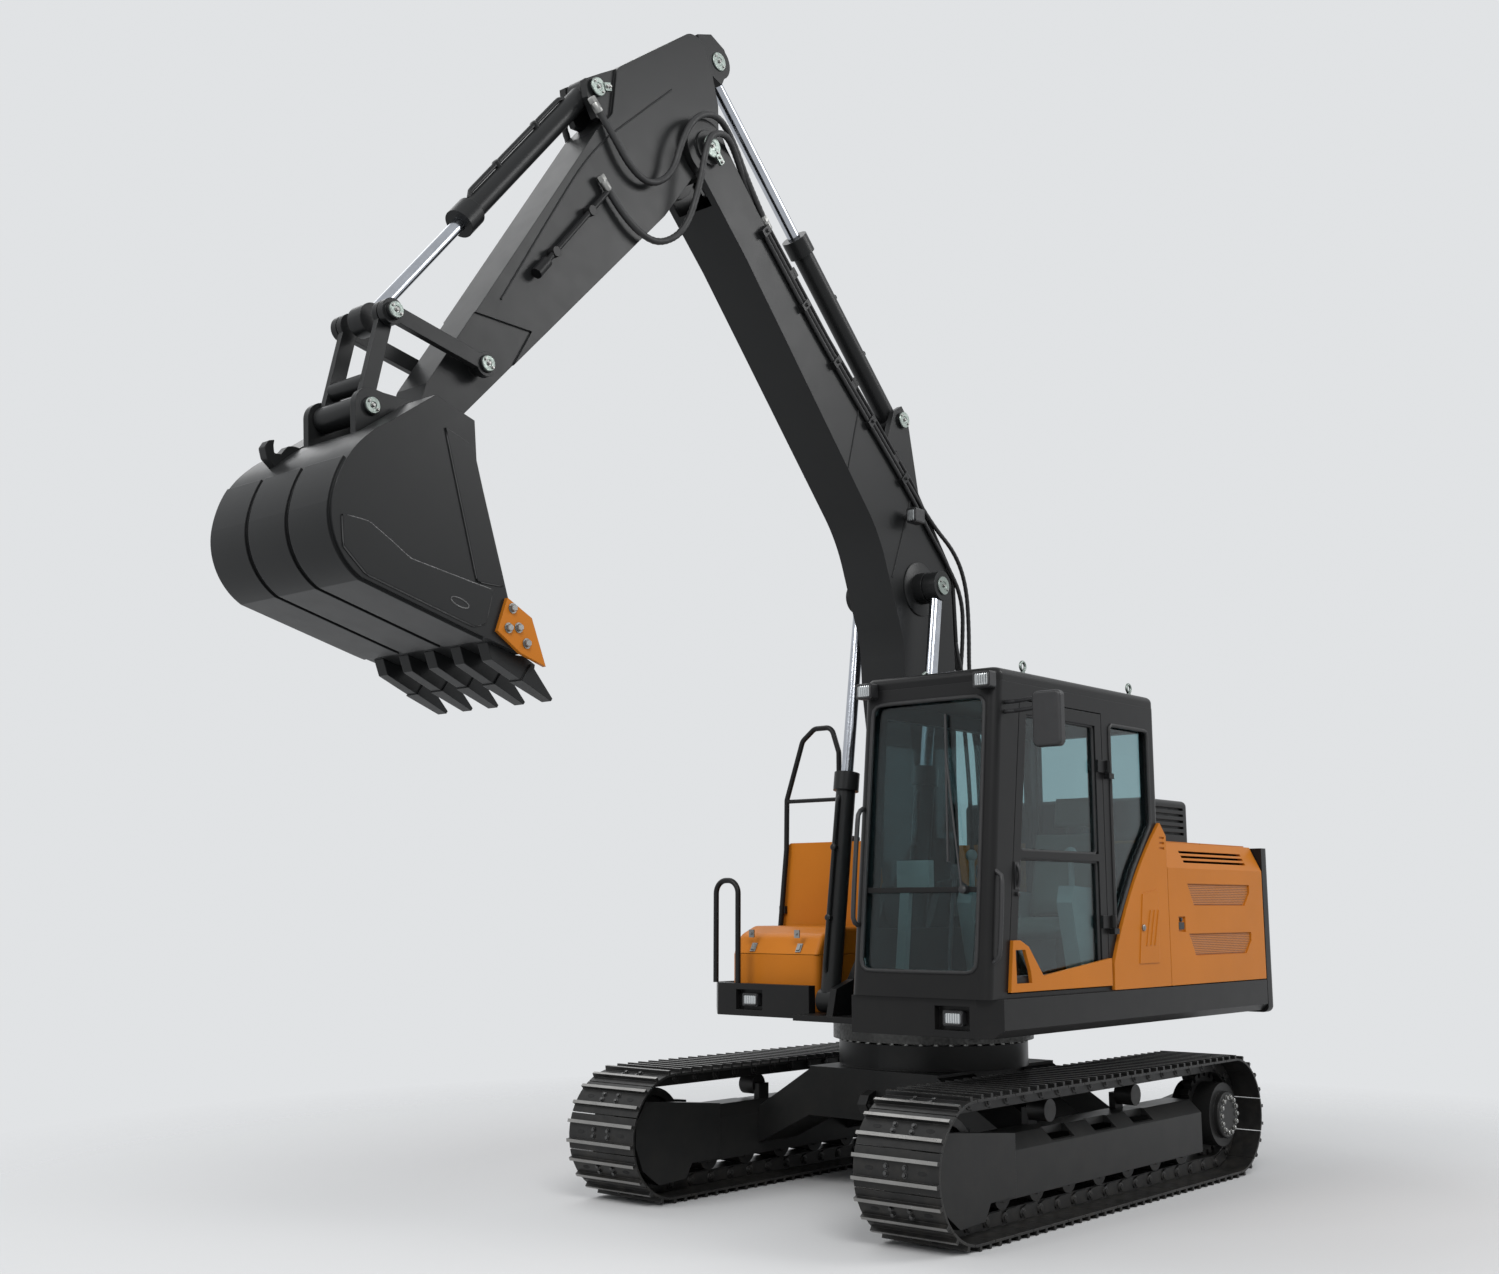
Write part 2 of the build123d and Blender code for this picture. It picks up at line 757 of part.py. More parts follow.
save(tool_box, "tool_box")

lid_profile = [
    (box_rear, box_split), (box_rear, lid_top), (330, lid_top), (455, 1450), (box_front, box_split)
]
lid_inside = [
    (box_rear + 20, box_split - 5), (box_rear + 20, lid_top - 20), (322, lid_top - 20), (440, 1436),
    (492, box_split - 5),
]
lid_bend = 90
lid_end_round = 45
lid_inner_round = 25


def is_lid_rim(edge):
    """Edge of the lid's top and front, not of its foot or back."""
    return edge.center().Z > box_split + 20 and edge.center().X > box_rear + 20


with BuildPart() as tool_box_lid:
    slab(lid_profile, box_low_y, box_high_y)
    fillet(tool_box_lid.edges().filter_by(Axis.Y).filter_by(is_lid_rim), lid_bend)
    fillet(tool_box_lid.faces().sort_by(Axis.Y)[0].edges().filter_by(is_lid_rim), lid_end_round)
    fillet(tool_box_lid.faces().sort_by(Axis.Y)[-1].edges().filter_by(is_lid_rim), lid_inner_round)
    slab(lid_inside, box_low_y + 2 * box_wall, box_high_y - box_wall, Mode.SUBTRACT)
    for y in lid_lugs:
        cross_cylinder(lid_hinge, lid_knuckle, y + lug_width + 3, y + 70)
        block(
            (lid_hinge[0], y + lug_width + 3, lid_hinge[1] - 10), (box_rear + 5, y + 70, lid_hinge[1] + 10)
        )
        cross_cylinder(lid_hinge, lid_pin + pin_gap, y - 5, y + 80, Mode.SUBTRACT)
save(tool_box_lid, "tool_box_lid")

rail_bar = 17
front_rail_x = tool_side_front - 32
front_rail_y = (-1190, -1010)
front_rail_top = 1780
tall_rail_x = tank_front + rail_bar + 8
tall_rail = [
    (-1195, 1470), (-1140, 1990), (-1135, 2310), (-1000, 2690), (-900, 2765), (-760, 2765), (-702, 2600),
    (-702, 1640),
]
cross_rail_z = 2300
rail_clips = ((-1180, 1600), (-702, 1680))
clip_half = 24
with BuildPart() as handrails:
    tube(
        [(front_rail_x, front_rail_y[0], skirt_top), (front_rail_x, front_rail_y[0], front_rail_top),
         (front_rail_x, front_rail_y[1], front_rail_top), (front_rail_x, front_rail_y[1], skirt_top)],
        rail_bar, 80,
    )
    tube([(tall_rail_x, y, z) for y, z in tall_rail], rail_bar, 60)
    bar(
        (tall_rail_x, tall_rail[2][0], cross_rail_z), (tall_rail_x, tall_rail[6][0], cross_rail_z),
        rail_bar - 4,
    )
    for y, z in rail_clips:
        block((tank_front, y - clip_half, z - clip_half), (tall_rail_x, y + clip_half, z + clip_half))
save(handrails, "handrails")

# Cab
def front_x(z):
    """Front face of the cab at a height."""
    return cab_front_low + (cab_front_high - cab_front_low) * (z - cab_floor) / (cab_top - cab_floor)


door_bottom = cab_floor + 31
door_top = cab_top - 90
door_rail = cab_floor + 726


def door_front(z):
    """Front edge of the cab door at a height."""
    share = (z - door_bottom) / (door_top - door_bottom)
    return door_front_low + (door_front_high - door_front_low) * share


pane_side = 70
screen_bottom = cab_floor + 130
screen_split = cab_floor + 530
screen_bar = 28
screen_top = cab_top - 80
screen_corner = 60
screen_low_y = cab_inner + pane_side
screen_high_y = cab_outer - pane_side
screen_centre = ((screen_low_y + screen_high_y) / 2, (screen_bottom + screen_top) / 2)
screen_size = (screen_high_y - screen_low_y, screen_top - screen_bottom)
pane_top = cab_top - 140
quarter_pane = [(-20, 1500), (-20, pane_top), (-480, pane_top), (-480, 2090), (-250, 1830)]
right_pane = [(-480, 1500), (1120, 1500), (1010, pane_top), (-480, pane_top)]
rear_pane = (cab_floor + 831, pane_top)
door_opening = [
    (door_rear - door_gap, door_bottom - door_gap),
    (door_front(door_bottom) + door_gap, door_bottom - door_gap),
    (door_front(door_top) + door_gap, door_top + door_gap), (door_rear - door_gap, door_top + door_gap),
]
split_bar = [
    (front_x(screen_split) - cab_wall, screen_split), (front_x(screen_split) - 10, screen_split),
    (front_x(screen_split + screen_bar) - 10, screen_split + screen_bar),
    (front_x(screen_split + screen_bar) - cab_wall, screen_split + screen_bar),
]
cab_outline = [
    (cab_rear, cab_floor), (cab_front_low, cab_floor), (cab_front_high, cab_top), (cab_rear, cab_top)
]
cab_inside = [
    (cab_rear + cab_wall, cab_floor + cab_wall),
    (front_x(cab_floor + cab_wall) - cab_wall, cab_floor + cab_wall),
    (front_x(cab_top - cab_wall) - cab_wall, cab_top - cab_wall), (cab_rear + cab_wall, cab_top - cab_wall),
]
screen_reach = (cab_front_high - 2 * cab_wall, cab_front_low + cab_wall)
door_hinge = (door_rear - 30, cab_outer + 22)
hinge_heights = (cab_floor + 341, cab_floor + 1201)
hinge_length = 70
hinge_pin = 8
hinge_barrel = 16


def screen_prism(mode):
    """Rounded opening of the windscreen, right through the front of the cab."""
    with BuildSketch(Plane.YZ.offset(screen_reach[0])) as opening:
        with Locations(screen_centre):
            RectangleRounded(*screen_size, screen_corner)
    extrude(opening.sketch, amount=screen_reach[1] - screen_reach[0], mode=mode)


with BuildPart() as cab_frame:
    slab(cab_outline, cab_inner, cab_outer)
    fillet(cab_frame.edges().filter_by(lambda edge: abs(edge.tangent_at(0.5).Z) > 0.9), cab_corner)
    slab(cab_inside, cab_inner + cab_wall, cab_outer - cab_wall, Mode.SUBTRACT)
    screen_prism(Mode.SUBTRACT)
    slab(split_bar, screen_low_y - 5, screen_high_y + 5)
    slab(quarter_pane, cab_outer - cab_wall - 5, cab_outer + 5, Mode.SUBTRACT)
    slab(door_opening, cab_outer - cab_wall - 5, cab_outer + 5, Mode.SUBTRACT)
    slab(right_pane, cab_inner - 5, cab_inner + cab_wall + 5, Mode.SUBTRACT)
    block(
        (cab_rear - 5, screen_low_y, rear_pane[0]), (cab_rear + cab_wall + 5, screen_high_y, rear_pane[1]),
        Mode.SUBTRACT,
    )
    for z in hinge_heights:
        block((door_hinge[0] - 40, cab_outer - 5, z - 32), (door_hinge[0] + 14, door_hinge[1] + 14, z - 2))
        bar((*door_hinge, z - 10), (*door_hinge, z + hinge_length), hinge_pin)
save(cab_frame, "cab_frame")

roof_eye = 24
roof_eye_bar = 8
roof_eye_stem = 12
roof_eye_inset = 110
roof_top = cab_top + roof_thickness
with BuildPart() as cab_roof:
    with BuildSketch(Plane.XY.offset(cab_top)):
        with Locations(((cab_rear + cab_front_high) / 2, (cab_inner + cab_outer) / 2)):
            RectangleRounded(cab_front_high - cab_rear, cab_width, cab_corner + 5)
    extrude(amount=roof_thickness)
    fillet(cab_roof.faces().sort_by(Axis.Z)[-1].edges(), 40)
    for x in (cab_rear + roof_eye_inset, cab_front_high - 4 * roof_eye_inset):
        for y in (cab_inner + roof_eye_inset, cab_outer - roof_eye_inset):
            bar((x, y, roof_top - 5), (x, y, roof_top + 35), roof_eye_stem)
            with Locations((x, y, roof_top + 30 + roof_eye)):
                Torus(roof_eye, roof_eye_bar, rotation=(90, 0, 0))
save(cab_roof, "cab_roof")

roof_lamp_size = (60, 105, 85)
roof_lamp_drop = 45
roof_lamp_y = (cab_inner + 45, cab_outer - 55)
with BuildPart() as work_lamps:
    for front, y in skirt_lamps:
        with Locations((front - lamp_recess[0] + lamp_size[0] / 2, y, lamp_z)):
            Box(*lamp_size)
    for y in roof_lamp_y:
        low = cab_top - roof_lamp_drop
        with Locations((front_x(low) + roof_lamp_size[0] / 2, y, low + roof_lamp_size[2] / 2)):
            Box(*roof_lamp_size)
    fillet(work_lamps.edges().filter_by(Axis.X), 10)
save(work_lamps, "work_lamps")

mirror_place = (1125, 1505, 2556)
mirror_size = (45, 165, 285)
mirror_bar = 11
with BuildPart() as cab_mirror:
    with Locations(mirror_place):
        Box(*mirror_size)
    fillet(cab_mirror.edges().filter_by(Axis.X), 30)
    fillet(cab_mirror.faces().sort_by(Axis.X)[-1].edges(), 15)
    for z in (mirror_place[2] + 60, mirror_place[2] + 110):
        bar((front_x(z) - 90, cab_outer, z), (front_x(z) - 90, cab_outer + 60, z), mirror_bar)
        bar((front_x(z) - 90, cab_outer + 60, z), (mirror_place[0], mirror_place[1] - 70, z), mirror_bar)
        with Locations((front_x(z) - 90, cab_outer + 60, z)):
            Sphere(mirror_bar)
save(cab_mirror, "cab_mirror")

screen_glass = [
    (front_x(screen_bottom) - pane_set - glass_thickness, screen_bottom),
    (front_x(screen_bottom) - pane_set, screen_bottom), (front_x(screen_top) - pane_set, screen_top),
    (front_x(screen_top) - pane_set - glass_thickness, screen_top),
]
with BuildPart() as cab_glass:
    slab(screen_glass, screen_low_y, screen_high_y)
    screen_prism(Mode.INTERSECT)
    slab(split_bar, screen_low_y - 5, screen_high_y + 5, Mode.SUBTRACT)
    slab(quarter_pane, cab_outer - pane_set - glass_thickness, cab_outer - pane_set)
    slab(right_pane, cab_inner + pane_set, cab_inner + pane_set + glass_thickness)
    block(
        (cab_rear + pane_set, screen_low_y, rear_pane[0]),
        (cab_rear + pane_set + glass_thickness, screen_high_y, rear_pane[1]),
    )
save(cab_glass, "cab_glass")

console_width = 95
seat_clearance = 22.5
seat_y = (cab_inner + cab_outer) / 2
seat_half = cab_width / 2 - cab_wall - console_width - seat_clearance
seat_base = cab_floor + cab_wall
cushion_bottom = cab_floor + 271
cushion_top = cushion_bottom + 130
cushion_rear = -260
cushion_front = 280
base_inset = 80
back_thickness = 120
back_height = 490
back_lean = 100
back_inset = 20
neck_gap = 30
neck_half = 60
head_height = 180
head_inset = 120
back_top = cushion_top + back_height
backrest = [
    (cushion_rear, cushion_top), (cushion_rear + back_thickness, cushion_top),
    (cushion_rear + back_thickness - back_lean, back_top), (cushion_rear - back_lean, back_top),
]
headrest = [
    (cushion_rear - back_lean, back_top + neck_gap),
    (cushion_rear - back_lean / 2, back_top + neck_gap),
    (cushion_rear - back_lean / 2 - neck_gap, back_top + neck_gap + head_height),
    (cushion_rear - back_lean - neck_gap, back_top + neck_gap + head_height),
]
neck_low = (cushion_rear - back_lean + 10, seat_y - neck_half, back_top - neck_gap)
neck_high = (cushion_rear - back_lean / 2 - 10, seat_y + neck_half, back_top + neck_gap + 20)
with BuildPart() as operator_seat:
    block(
        (cushion_rear + base_inset, seat_y - seat_half + base_inset, seat_base),
        (cushion_front - base_inset, seat_y + seat_half - base_inset, cushion_bottom),
    )
    block(
        (cushion_rear, seat_y - seat_half, cushion_bottom),
        (cushion_front, seat_y + seat_half, cushion_top),
    )
    slab(backrest, seat_y - seat_half + back_inset, seat_y + seat_half - back_inset)
    slab(headrest, seat_y - seat_half + head_inset, seat_y + seat_half - head_inset)
    block(neck_low, neck_high)
save(operator_seat, "operator_seat")

console_outline = [(-300, seat_base), (260, seat_base), (360, 1640), (330, 1730), (-300, 1700)]
lever_place = (270, 1800)
monitor_post = [(980, seat_base), (1020, seat_base), (960, 1700), (925, 1700)]
monitor_low_y = cab_inner + cab_wall + 30
monitor_size = (50, 210, 170)
with BuildPart() as consoles:
    for y_low in (cab_inner + cab_wall, cab_outer - cab_wall - console_width):
        slab(console_outline, y_low, y_low + console_width)
        with Locations((lever_place[0], y_low + console_width / 2, lever_place[1])):
            Cylinder(16, 180)
        with Locations((lever_place[0], y_low + console_width / 2, lever_place[1] + 110)):
            Sphere(34)
    slab(monitor_post, monitor_low_y, monitor_low_y + 60)
    with Locations(
        (monitor_post[2][0] - 25, monitor_low_y + 85, monitor_post[2][1] + monitor_size[2] / 2 - 5)
    ):
        Box(*monitor_size)
save(consoles, "consoles")

# Cab door, hinged on its rear edge
door_outline = [
    (door_rear, door_bottom), (door_front(door_bottom), door_bottom), (door_front(door_top), door_top),
    (door_rear, door_top),
]


def door_pane(low, high):
    """Outline of a door window between two heights."""
    rear = door_rear + door_border
    return [
        (rear, low), (door_front(low) - door_border, low), (door_front(high) - door_border, high),
        (rear, high),
    ]


door_panes = [
    door_pane(door_bottom + door_border, door_rail - 20), door_pane(door_rail + 20, door_top - door_border),
]
with BuildPart() as cab_door:
    slab(door_outline, cab_outer - cab_wall, cab_outer)
    for pane in door_panes:
        slab(pane, cab_outer - cab_wall - 5, cab_outer + 5, Mode.SUBTRACT)
    for z in hinge_heights:
        block((door_hinge[0], cab_outer, z), (door_rear + 70, cab_outer + 14, z + hinge_length))
        bar((*door_hinge, z), (*door_hinge, z + hinge_length), hinge_barrel)
        bar((*door_hinge, z - 5), (*door_hinge, z + hinge_length + 5), hinge_pin + pin_gap, Mode.SUBTRACT)
save(cab_door, "cab_door")

with BuildPart() as door_glass:
    for pane in door_panes:
        slab(pane, cab_outer - pane_set - glass_thickness, cab_outer - pane_set)
save(door_glass, "door_glass")

swoosh = [
    (door_rear, door_bottom), (door_front(door_bottom), door_bottom), (door_front(1448), 1448),
    (1020, 1448),
    (940, 1415), (800, 1264), (door_rear, 1338),
]
step_pocket = [(1062, 1232), (1068, 1400), (975, 1400), (925, 1290), (915, 1232)]
with BuildPart() as door_panel:
    slab(swoosh, cab_outer, half_width)
    slab(step_pocket, cab_outer - 5, half_width + 5, Mode.SUBTRACT)
save(door_panel, "door_panel")

# Boom
boom_outline = [
    (250, 1640), (455, 2900), (470, 3180), (700, 3790), (1574, 4760), (1900, 5120), (2340, 5560),
    (2110, 5750),
    (1800, 5420), (1200, 4850), (330, 4110), (-50, 3620), (-75, 3100), (-50, 1660),
]
boom_bends = {(470, 3180): 500, (700, 3790): 900, (330, 4110): 500, (-50, 3620): 400}
tip_radius = 160
slot_radius = 300
boss_radius = 95
tip_slot = arm_half + side_gap
cylinder_ear = [(180, 4080), (300, 4600), (360, 4660), (440, 4610), (560, 4300)]
cylinder_ear_span = (60, 95)
with BuildSketch() as boom_face:
    with BuildLine():
        Polyline(*boom_outline, close=True)
    make_face()
    for corner, radius in boom_bends.items():
        fillet(boom_face.vertices().sort_by_distance((corner[0], corner[1], 0))[0], radius)
    with Locations(boom_foot):
        Circle(tip_radius)
    with Locations(boom_tip):
        Circle(tip_radius)
with BuildSketch() as boom_hollow:
    offset(boom_face.sketch, amount=-boom_wall)
    for centre in (boom_foot, boom_tip):
        with Locations(centre):
            Circle(tip_radius + 40, mode=Mode.SUBTRACT)
with BuildPart() as boom:
    extrude(Plane.XZ * boom_face.sketch, amount=boom_half, both=True)
    extrude(Plane.XZ * boom_hollow.sketch, amount=boom_half - boom_wall, both=True, mode=Mode.SUBTRACT)
    cross_cylinder(boom_tip, slot_radius, -tip_slot, tip_slot, Mode.SUBTRACT)
    cross_cylinder(boom_tip, pin_radius, -boom_half - 30, boom_half + 30)
    cross_pair(boom_tip, boss_radius, boom_half, boom_half + 12)
    cross_cylinder(boom_foot, pin_radius + pin_gap, -boom_half - 30, boom_half + 30, Mode.SUBTRACT)
    slab_pair(cylinder_ear, *cylinder_ear_span)
    cross_cylinder(arm_cylinder_foot, pin_radius - 8, -110, 110)
    cross_pair(boom_cylinder_eye, boss_radius, boom_half, cylinder_offset - 50)
save(boom, "boom")

pipe_radius = 14
pipe_ys = (-147, -118, 118, 147)
pipe_height = 34
pipe_bend = 300
pipe_base = [(330, 4110), (1200, 4850), (1800, 5420), (2110, 5750)]
pipe_tail = [(-110, 3240), (-85, 3650)]
clamp_places = ((0, 250), (0, 800), (1, 420))
clamp_half = 28
pipe_route = [
    *pipe_tail, beside(pipe_base[0], pipe_base[1], 40, pipe_height),
    beside(pipe_base[1], pipe_base[2], 0, pipe_height), beside(pipe_base[1], pipe_base[2], 760, pipe_height),
]
with BuildPart() as boom_pipes:
    for y in pipe_ys:
        tube([at_y(point, y) for point in pipe_route], pipe_radius, pipe_bend)
    for run, distance in clamp_places:
        corners = [
            beside(pipe_base[run], pipe_base[run + 1], distance + step, height)
            for step, height in ((-clamp_half, 0), (clamp_half, 0), (clamp_half, 58), (-clamp_half, 58))
        ]
        slab_pair(corners, 98, boom_half)
save(boom_pipes, "boom_pipes")

boom_lamp_foot = (430, 3930)
boom_lamp_size = (90, 70, 90)
with BuildPart() as boom_lamp:
    with Locations(at_y(boom_lamp_foot, boom_half + 75)):
        Box(*boom_lamp_size)
    fillet(boom_lamp.edges().filter_by(Axis.X), 12)
    cross_cylinder(boom_lamp_foot, 14, boom_half, boom_half + 45)
save(boom_lamp, "boom_lamp")


gland_length = 110
gland_rise = 18


def make_barrel(foot, eye, y_positions, outer, bore, length, foot_pin, half_eye):
    """Cylinder tube with a foot eye, a gland collar, an oil port and a bore for the rod."""
    with BuildPart() as barrel:
        for y in y_positions:
            end = at_y(along(foot, eye, length), y)
            bar(at_y(along(foot, eye, 40), y), end, outer)
            bar(at_y(along(foot, eye, length - gland_length), y), end, outer + gland_rise)
            cross_cylinder(foot, outer + 10, y - half_eye, y + half_eye)
            bar(
                at_y(along(foot, eye, outer + 50), y), at_y(along(foot, eye, length + 10), y), bore,
                Mode.SUBTRACT,
            )
            cross_cylinder(foot, foot_pin + pin_gap, y - half_eye - 5, y + half_eye + 5, Mode.SUBTRACT)
    return barrel


def make_rod(foot, eye, y_positions, radius, inner_end, eye_radius, half_eye):
    """Piston rod from inside the tube to its eye."""
    with BuildPart() as rod:
        for y in y_positions:
            bar(at_y(along(foot, eye, inner_end), y), at_y(eye, y), radius)
            cross_cylinder(eye, eye_radius, y - half_eye, y + half_eye)
    return rod


both_sides = (-cylinder_offset, cylinder_offset)
rod_gap = 0.5
rod_eye_half = 45
boom_rod = 37
boom_barrel = 59
boom_stroke = (1150, 1350)
save(
    make_barrel(
        boom_cylinder_foot, boom_cylinder_eye, both_sides, boom_barrel, boom_rod + rod_gap, boom_stroke[1],
        pin_radius - 8, 55,
    ),
    "boom_cylinder_barrels",
)
save(
    make_rod(boom_cylinder_foot, boom_cylinder_eye, both_sides, boom_rod, boom_stroke[0], 90, rod_eye_half),
    "boom_cylinder_rods",
)
arm_rod = 37
arm_barrel = 60
arm_stroke = (870, 1300)
save(
    make_barrel(
        arm_cylinder_foot, arm_cylinder_eye, (0,), arm_barrel, arm_rod + rod_gap, arm_stroke[1],
        pin_radius - 8, 55,
    ),
    "arm_cylinder_barrel",
)
save(
    make_rod(arm_cylinder_foot, arm_cylinder_eye, (0,), arm_rod, arm_stroke[0], 75, rod_eye_half),
    "arm_cylinder_rod",
)
bucket_rod = 32
bucket_barrel = 55
bucket_stroke = (760, 1230)
save(
    make_barrel(
        bucket_cylinder_foot, link_top, (0,), bucket_barrel, bucket_rod + rod_gap, bucket_stroke[1],
        small_pin, 50,
    ),
    "bucket_cylinder_barrel",
)
save(
    make_rod(bucket_cylinder_foot, link_top, (0,), bucket_rod, bucket_stroke[0], 70, rod_eye_half),
    "bucket_cylinder_rod",
)

# Arm
arm_outline = [
    (2245, 6350), (2860, 5865), (2890, 5600), (3005, 5465), (4000, 3900), (4060, 3720), (3900, 3640),
    (3790, 3805),
    (2500, 5180), (2280, 5480), (2075, 5600), (2085, 5960), (2150, 6180),
]
arm_bends = {(2245, 6350): 110, (2860, 5865): 60, (2890, 5600): 60}
arm_eye_boss = 95
arm_boss = 145
arm_tip_boss = 95
eye_ear = [(2230, 6330), (2120, 6375), (2010, 6330), (1965, 6250), (2030, 6110), (2150, 6150)]
foot_ear = [(2850, 5870), (2960, 5800), (3065, 5730), (3050, 5640), (2985, 5550), (2850, 5560)]
eye_slot = [(1950, 6100), (2160, 6130), (2215, 6200), (2310, 6310), (2310, 6500), (1950, 6500)]
tip_relief = [(3400, 4300), (3900, 3400), (4300, 3400), (4300, 4300)]
eye_slot_half = 52
foot_ear_span = (56, 96)
with BuildSketch() as arm_face:
    with BuildLine():
        Polyline(*arm_outline, close=True)
    make_face()
    for corner, radius in arm_bends.items():
        fillet(arm_face.vertices().sort_by_distance((corner[0], corner[1], 0))[0], radius)
    with Locations(boom_tip):
        Circle(arm_boss)
    with Locations(bucket_pivot):
        Circle(arm_tip_boss)
with BuildSketch() as arm_hollow:
    offset(arm_face.sketch, amount=-arm_wall)
    for centre, radius in (
        (boom_tip, arm_boss + 30), (bucket_pivot, arm_tip_boss + 55), (rocker_pivot, 90)
    ):
        with Locations(centre):
            Circle(radius, mode=Mode.SUBTRACT)
with BuildPart() as arm:
    extrude(Plane.XZ * arm_face.sketch, amount=arm_half, both=True)
    extrude(Plane.XZ * arm_hollow.sketch, amount=arm_half - arm_wall, both=True, mode=Mode.SUBTRACT)
    slab_pair(tip_relief, arm_tip_half, arm_half + 1, Mode.SUBTRACT)
    slab(eye_slot, -eye_slot_half, eye_slot_half, Mode.SUBTRACT)
    cross_cylinder(boom_tip, pin_radius + pin_gap, -arm_half - 5, arm_half + 5, Mode.SUBTRACT)
    slab_pair(eye_ear, eye_slot_half, eye_slot_half + 40)
    cross_pair(arm_cylinder_eye, arm_eye_boss, eye_slot_half, eye_slot_half + 40)
    slab_pair(foot_ear, *foot_ear_span)
    cross_cylinder(bucket_cylinder_foot, small_pin, -110, 110)
    cross_cylinder(rocker_pivot, small_pin, -ear_outer - 8, ear_outer + 8)
    cross_cylinder(bucket_pivot, small_pin, -ear_outer - 8, ear_outer + 8)
save(arm, "arm")

arm_pipe_ends = ((2943, 5156), (3410, 4577))
arm_pipe_y = arm_half + 32
arm_clamps = (190, 560)
with BuildPart() as arm_pipe:
    bar(at_y(arm_pipe_ends[0], arm_pipe_y), at_y(arm_pipe_ends[1], arm_pipe_y), pipe_radius)
    bar(
        at_y(along(*arm_pipe_ends, 640), arm_pipe_y), at_y(along(*arm_pipe_ends, 744), arm_pipe_y),
        2 * pipe_radius,
    )
    for distance in arm_clamps:
        cross_cylinder(along(*arm_pipe_ends, distance), 26, arm_half, arm_pipe_y + 18)
save(arm_pipe, "arm_pipe")

# Bucket linkage
def lever(start, end, width):
    """Outline of a flat lever between two pins."""
    length = math.dist(start, end)
    return [
        beside(start, end, 0, width / 2), beside(start, end, 0, -width / 2),
        beside(start, end, length, -width / 2), beside(start, end, length, width / 2),
    ]


lever_width = 72
lever_boss = 58
stay_place = 130
with BuildPart() as rocker_arms:
    slab_pair(lever(rocker_pivot, link_top, lever_width), ear_inner, ear_outer)
    cross_pair(rocker_pivot, lever_boss, ear_inner, ear_outer)
    cross_pair(link_top, lever_boss, ear_inner, ear_outer)
    cross_pair(link_top, small_pin, ear_outer, ear_outer + 20)
    cross_cylinder(rocker_pivot, small_pin + pin_gap, -ear_outer - 5, ear_outer + 5, Mode.SUBTRACT)
save(rocker_arms, "rocker_arms")

with BuildPart() as bucket_link:
    slab_pair(lever(link_foot, link_top, lever_width), link_inner, link_outer)
    cross_pair(link_top, lever_boss, link_inner, link_outer)
    cross_cylinder(link_foot, lever_boss, -link_outer, link_outer)
    cross_cylinder(along(link_foot, link_top, stay_place), small_pin, -link_inner - 5, link_inner + 5)
    cross_cylinder(link_foot, small_pin + pin_gap, -link_outer - 5, link_outer + 5, Mode.SUBTRACT)
save(bucket_link, "bucket_link")

# Bucket
mouth_top = (4009, 3585)
wrap_top = (4190, 3610)
wrap_crown = (4390, 3580)
wrap_shoulder = (4532, 3487)
wrap_bulge = (4640, 3350)
wrap_back = (4692, 3179)
wrap_belly = (4660, 3020)
wrap_heel = (4540, 2900)
lip_heel = (3955, 2750)
lip = (3700, 2690)
mouth_cut = [(3760, 2735), (3500, 2740), (3700, 3660), (4045, 3575)]
bucket_ear = [
    (3950, 3560), (3935, 3745), (4000, 3766), (4290, 3768), (4350, 3775), (4430, 3695), (4420, 3540),
    (4130, 3560),
]
ear_boss = 64
ear_heel = 80
shoulder_outline = [(3975, 3490), (3992, 3665), (4205, 3728), (4440, 3555), (4400, 3500)]
shoulder_strip = [(3992, 3665), (4205, 3728), (4440, 3555), (4425, 3540), (4203, 3702), (4000, 3641)]
shoulder_inner = 222
wear_height = 12
wear_zone = [(4750, 3420), (4300, 3250), (3900, 2800), (3900, 2600), (4750, 2600)]
wear_ys = (-285, 0, 285)
wear_half = 128
with BuildSketch() as bucket_face:
    with BuildLine():
        Polyline(wrap_heel, lip_heel, lip, mouth_top, wrap_top)
        ThreePointArc(wrap_top, wrap_crown, wrap_shoulder)
        ThreePointArc(wrap_shoulder, wrap_bulge, wrap_back)
        ThreePointArc(wrap_back, wrap_belly, wrap_heel)
    make_face()
with BuildSketch() as bucket_inside:
    offset(bucket_face.sketch, amount=-bucket_plate)
    with BuildLine():
        Polyline(*mouth_cut, close=True)
    make_face()
with BuildSketch() as wear_strip:
    offset(bucket_face.sketch, amount=wear_height)
    add(bucket_face.sketch, mode=Mode.SUBTRACT)
    with BuildLine():
        Polyline(*wear_zone, close=True)
    make_face(mode=Mode.INTERSECT)
with BuildPart() as bucket_shell:
    extrude(Plane.XZ * bucket_face.sketch, amount=bucket_half, both=True)
    extrude(
        Plane.XZ * bucket_inside.sketch, amount=bucket_half - bucket_plate, both=True, mode=Mode.SUBTRACT
    )
    for y in wear_ys:
        extrude(Plane.XZ.offset(wear_half - y) * wear_strip.sketch, amount=-2 * wear_half)
    slab_pair(shoulder_outline, shoulder_inner, shoulder_inner + bucket_plate)
    slab_pair(shoulder_outline, bucket_half - bucket_plate, bucket_half)
    slab_pair(shoulder_strip, shoulder_inner, bucket_half)
    slab_pair(bucket_ear, ear_inner, ear_outer)
    cross_pair(bucket_pivot, ear_boss, ear_inner, ear_outer)
    cross_pair(link_foot, ear_heel, ear_inner, ear_outer)
    cross_cylinder(bucket_pivot, small_pin + pin_gap, -ear_outer - 5, ear_outer + 5, Mode.SUBTRACT)
    cross_cylinder(link_foot, small_pin, -ear_outer - 10, ear_outer + 10)
save(bucket_shell, "bucket_shell")

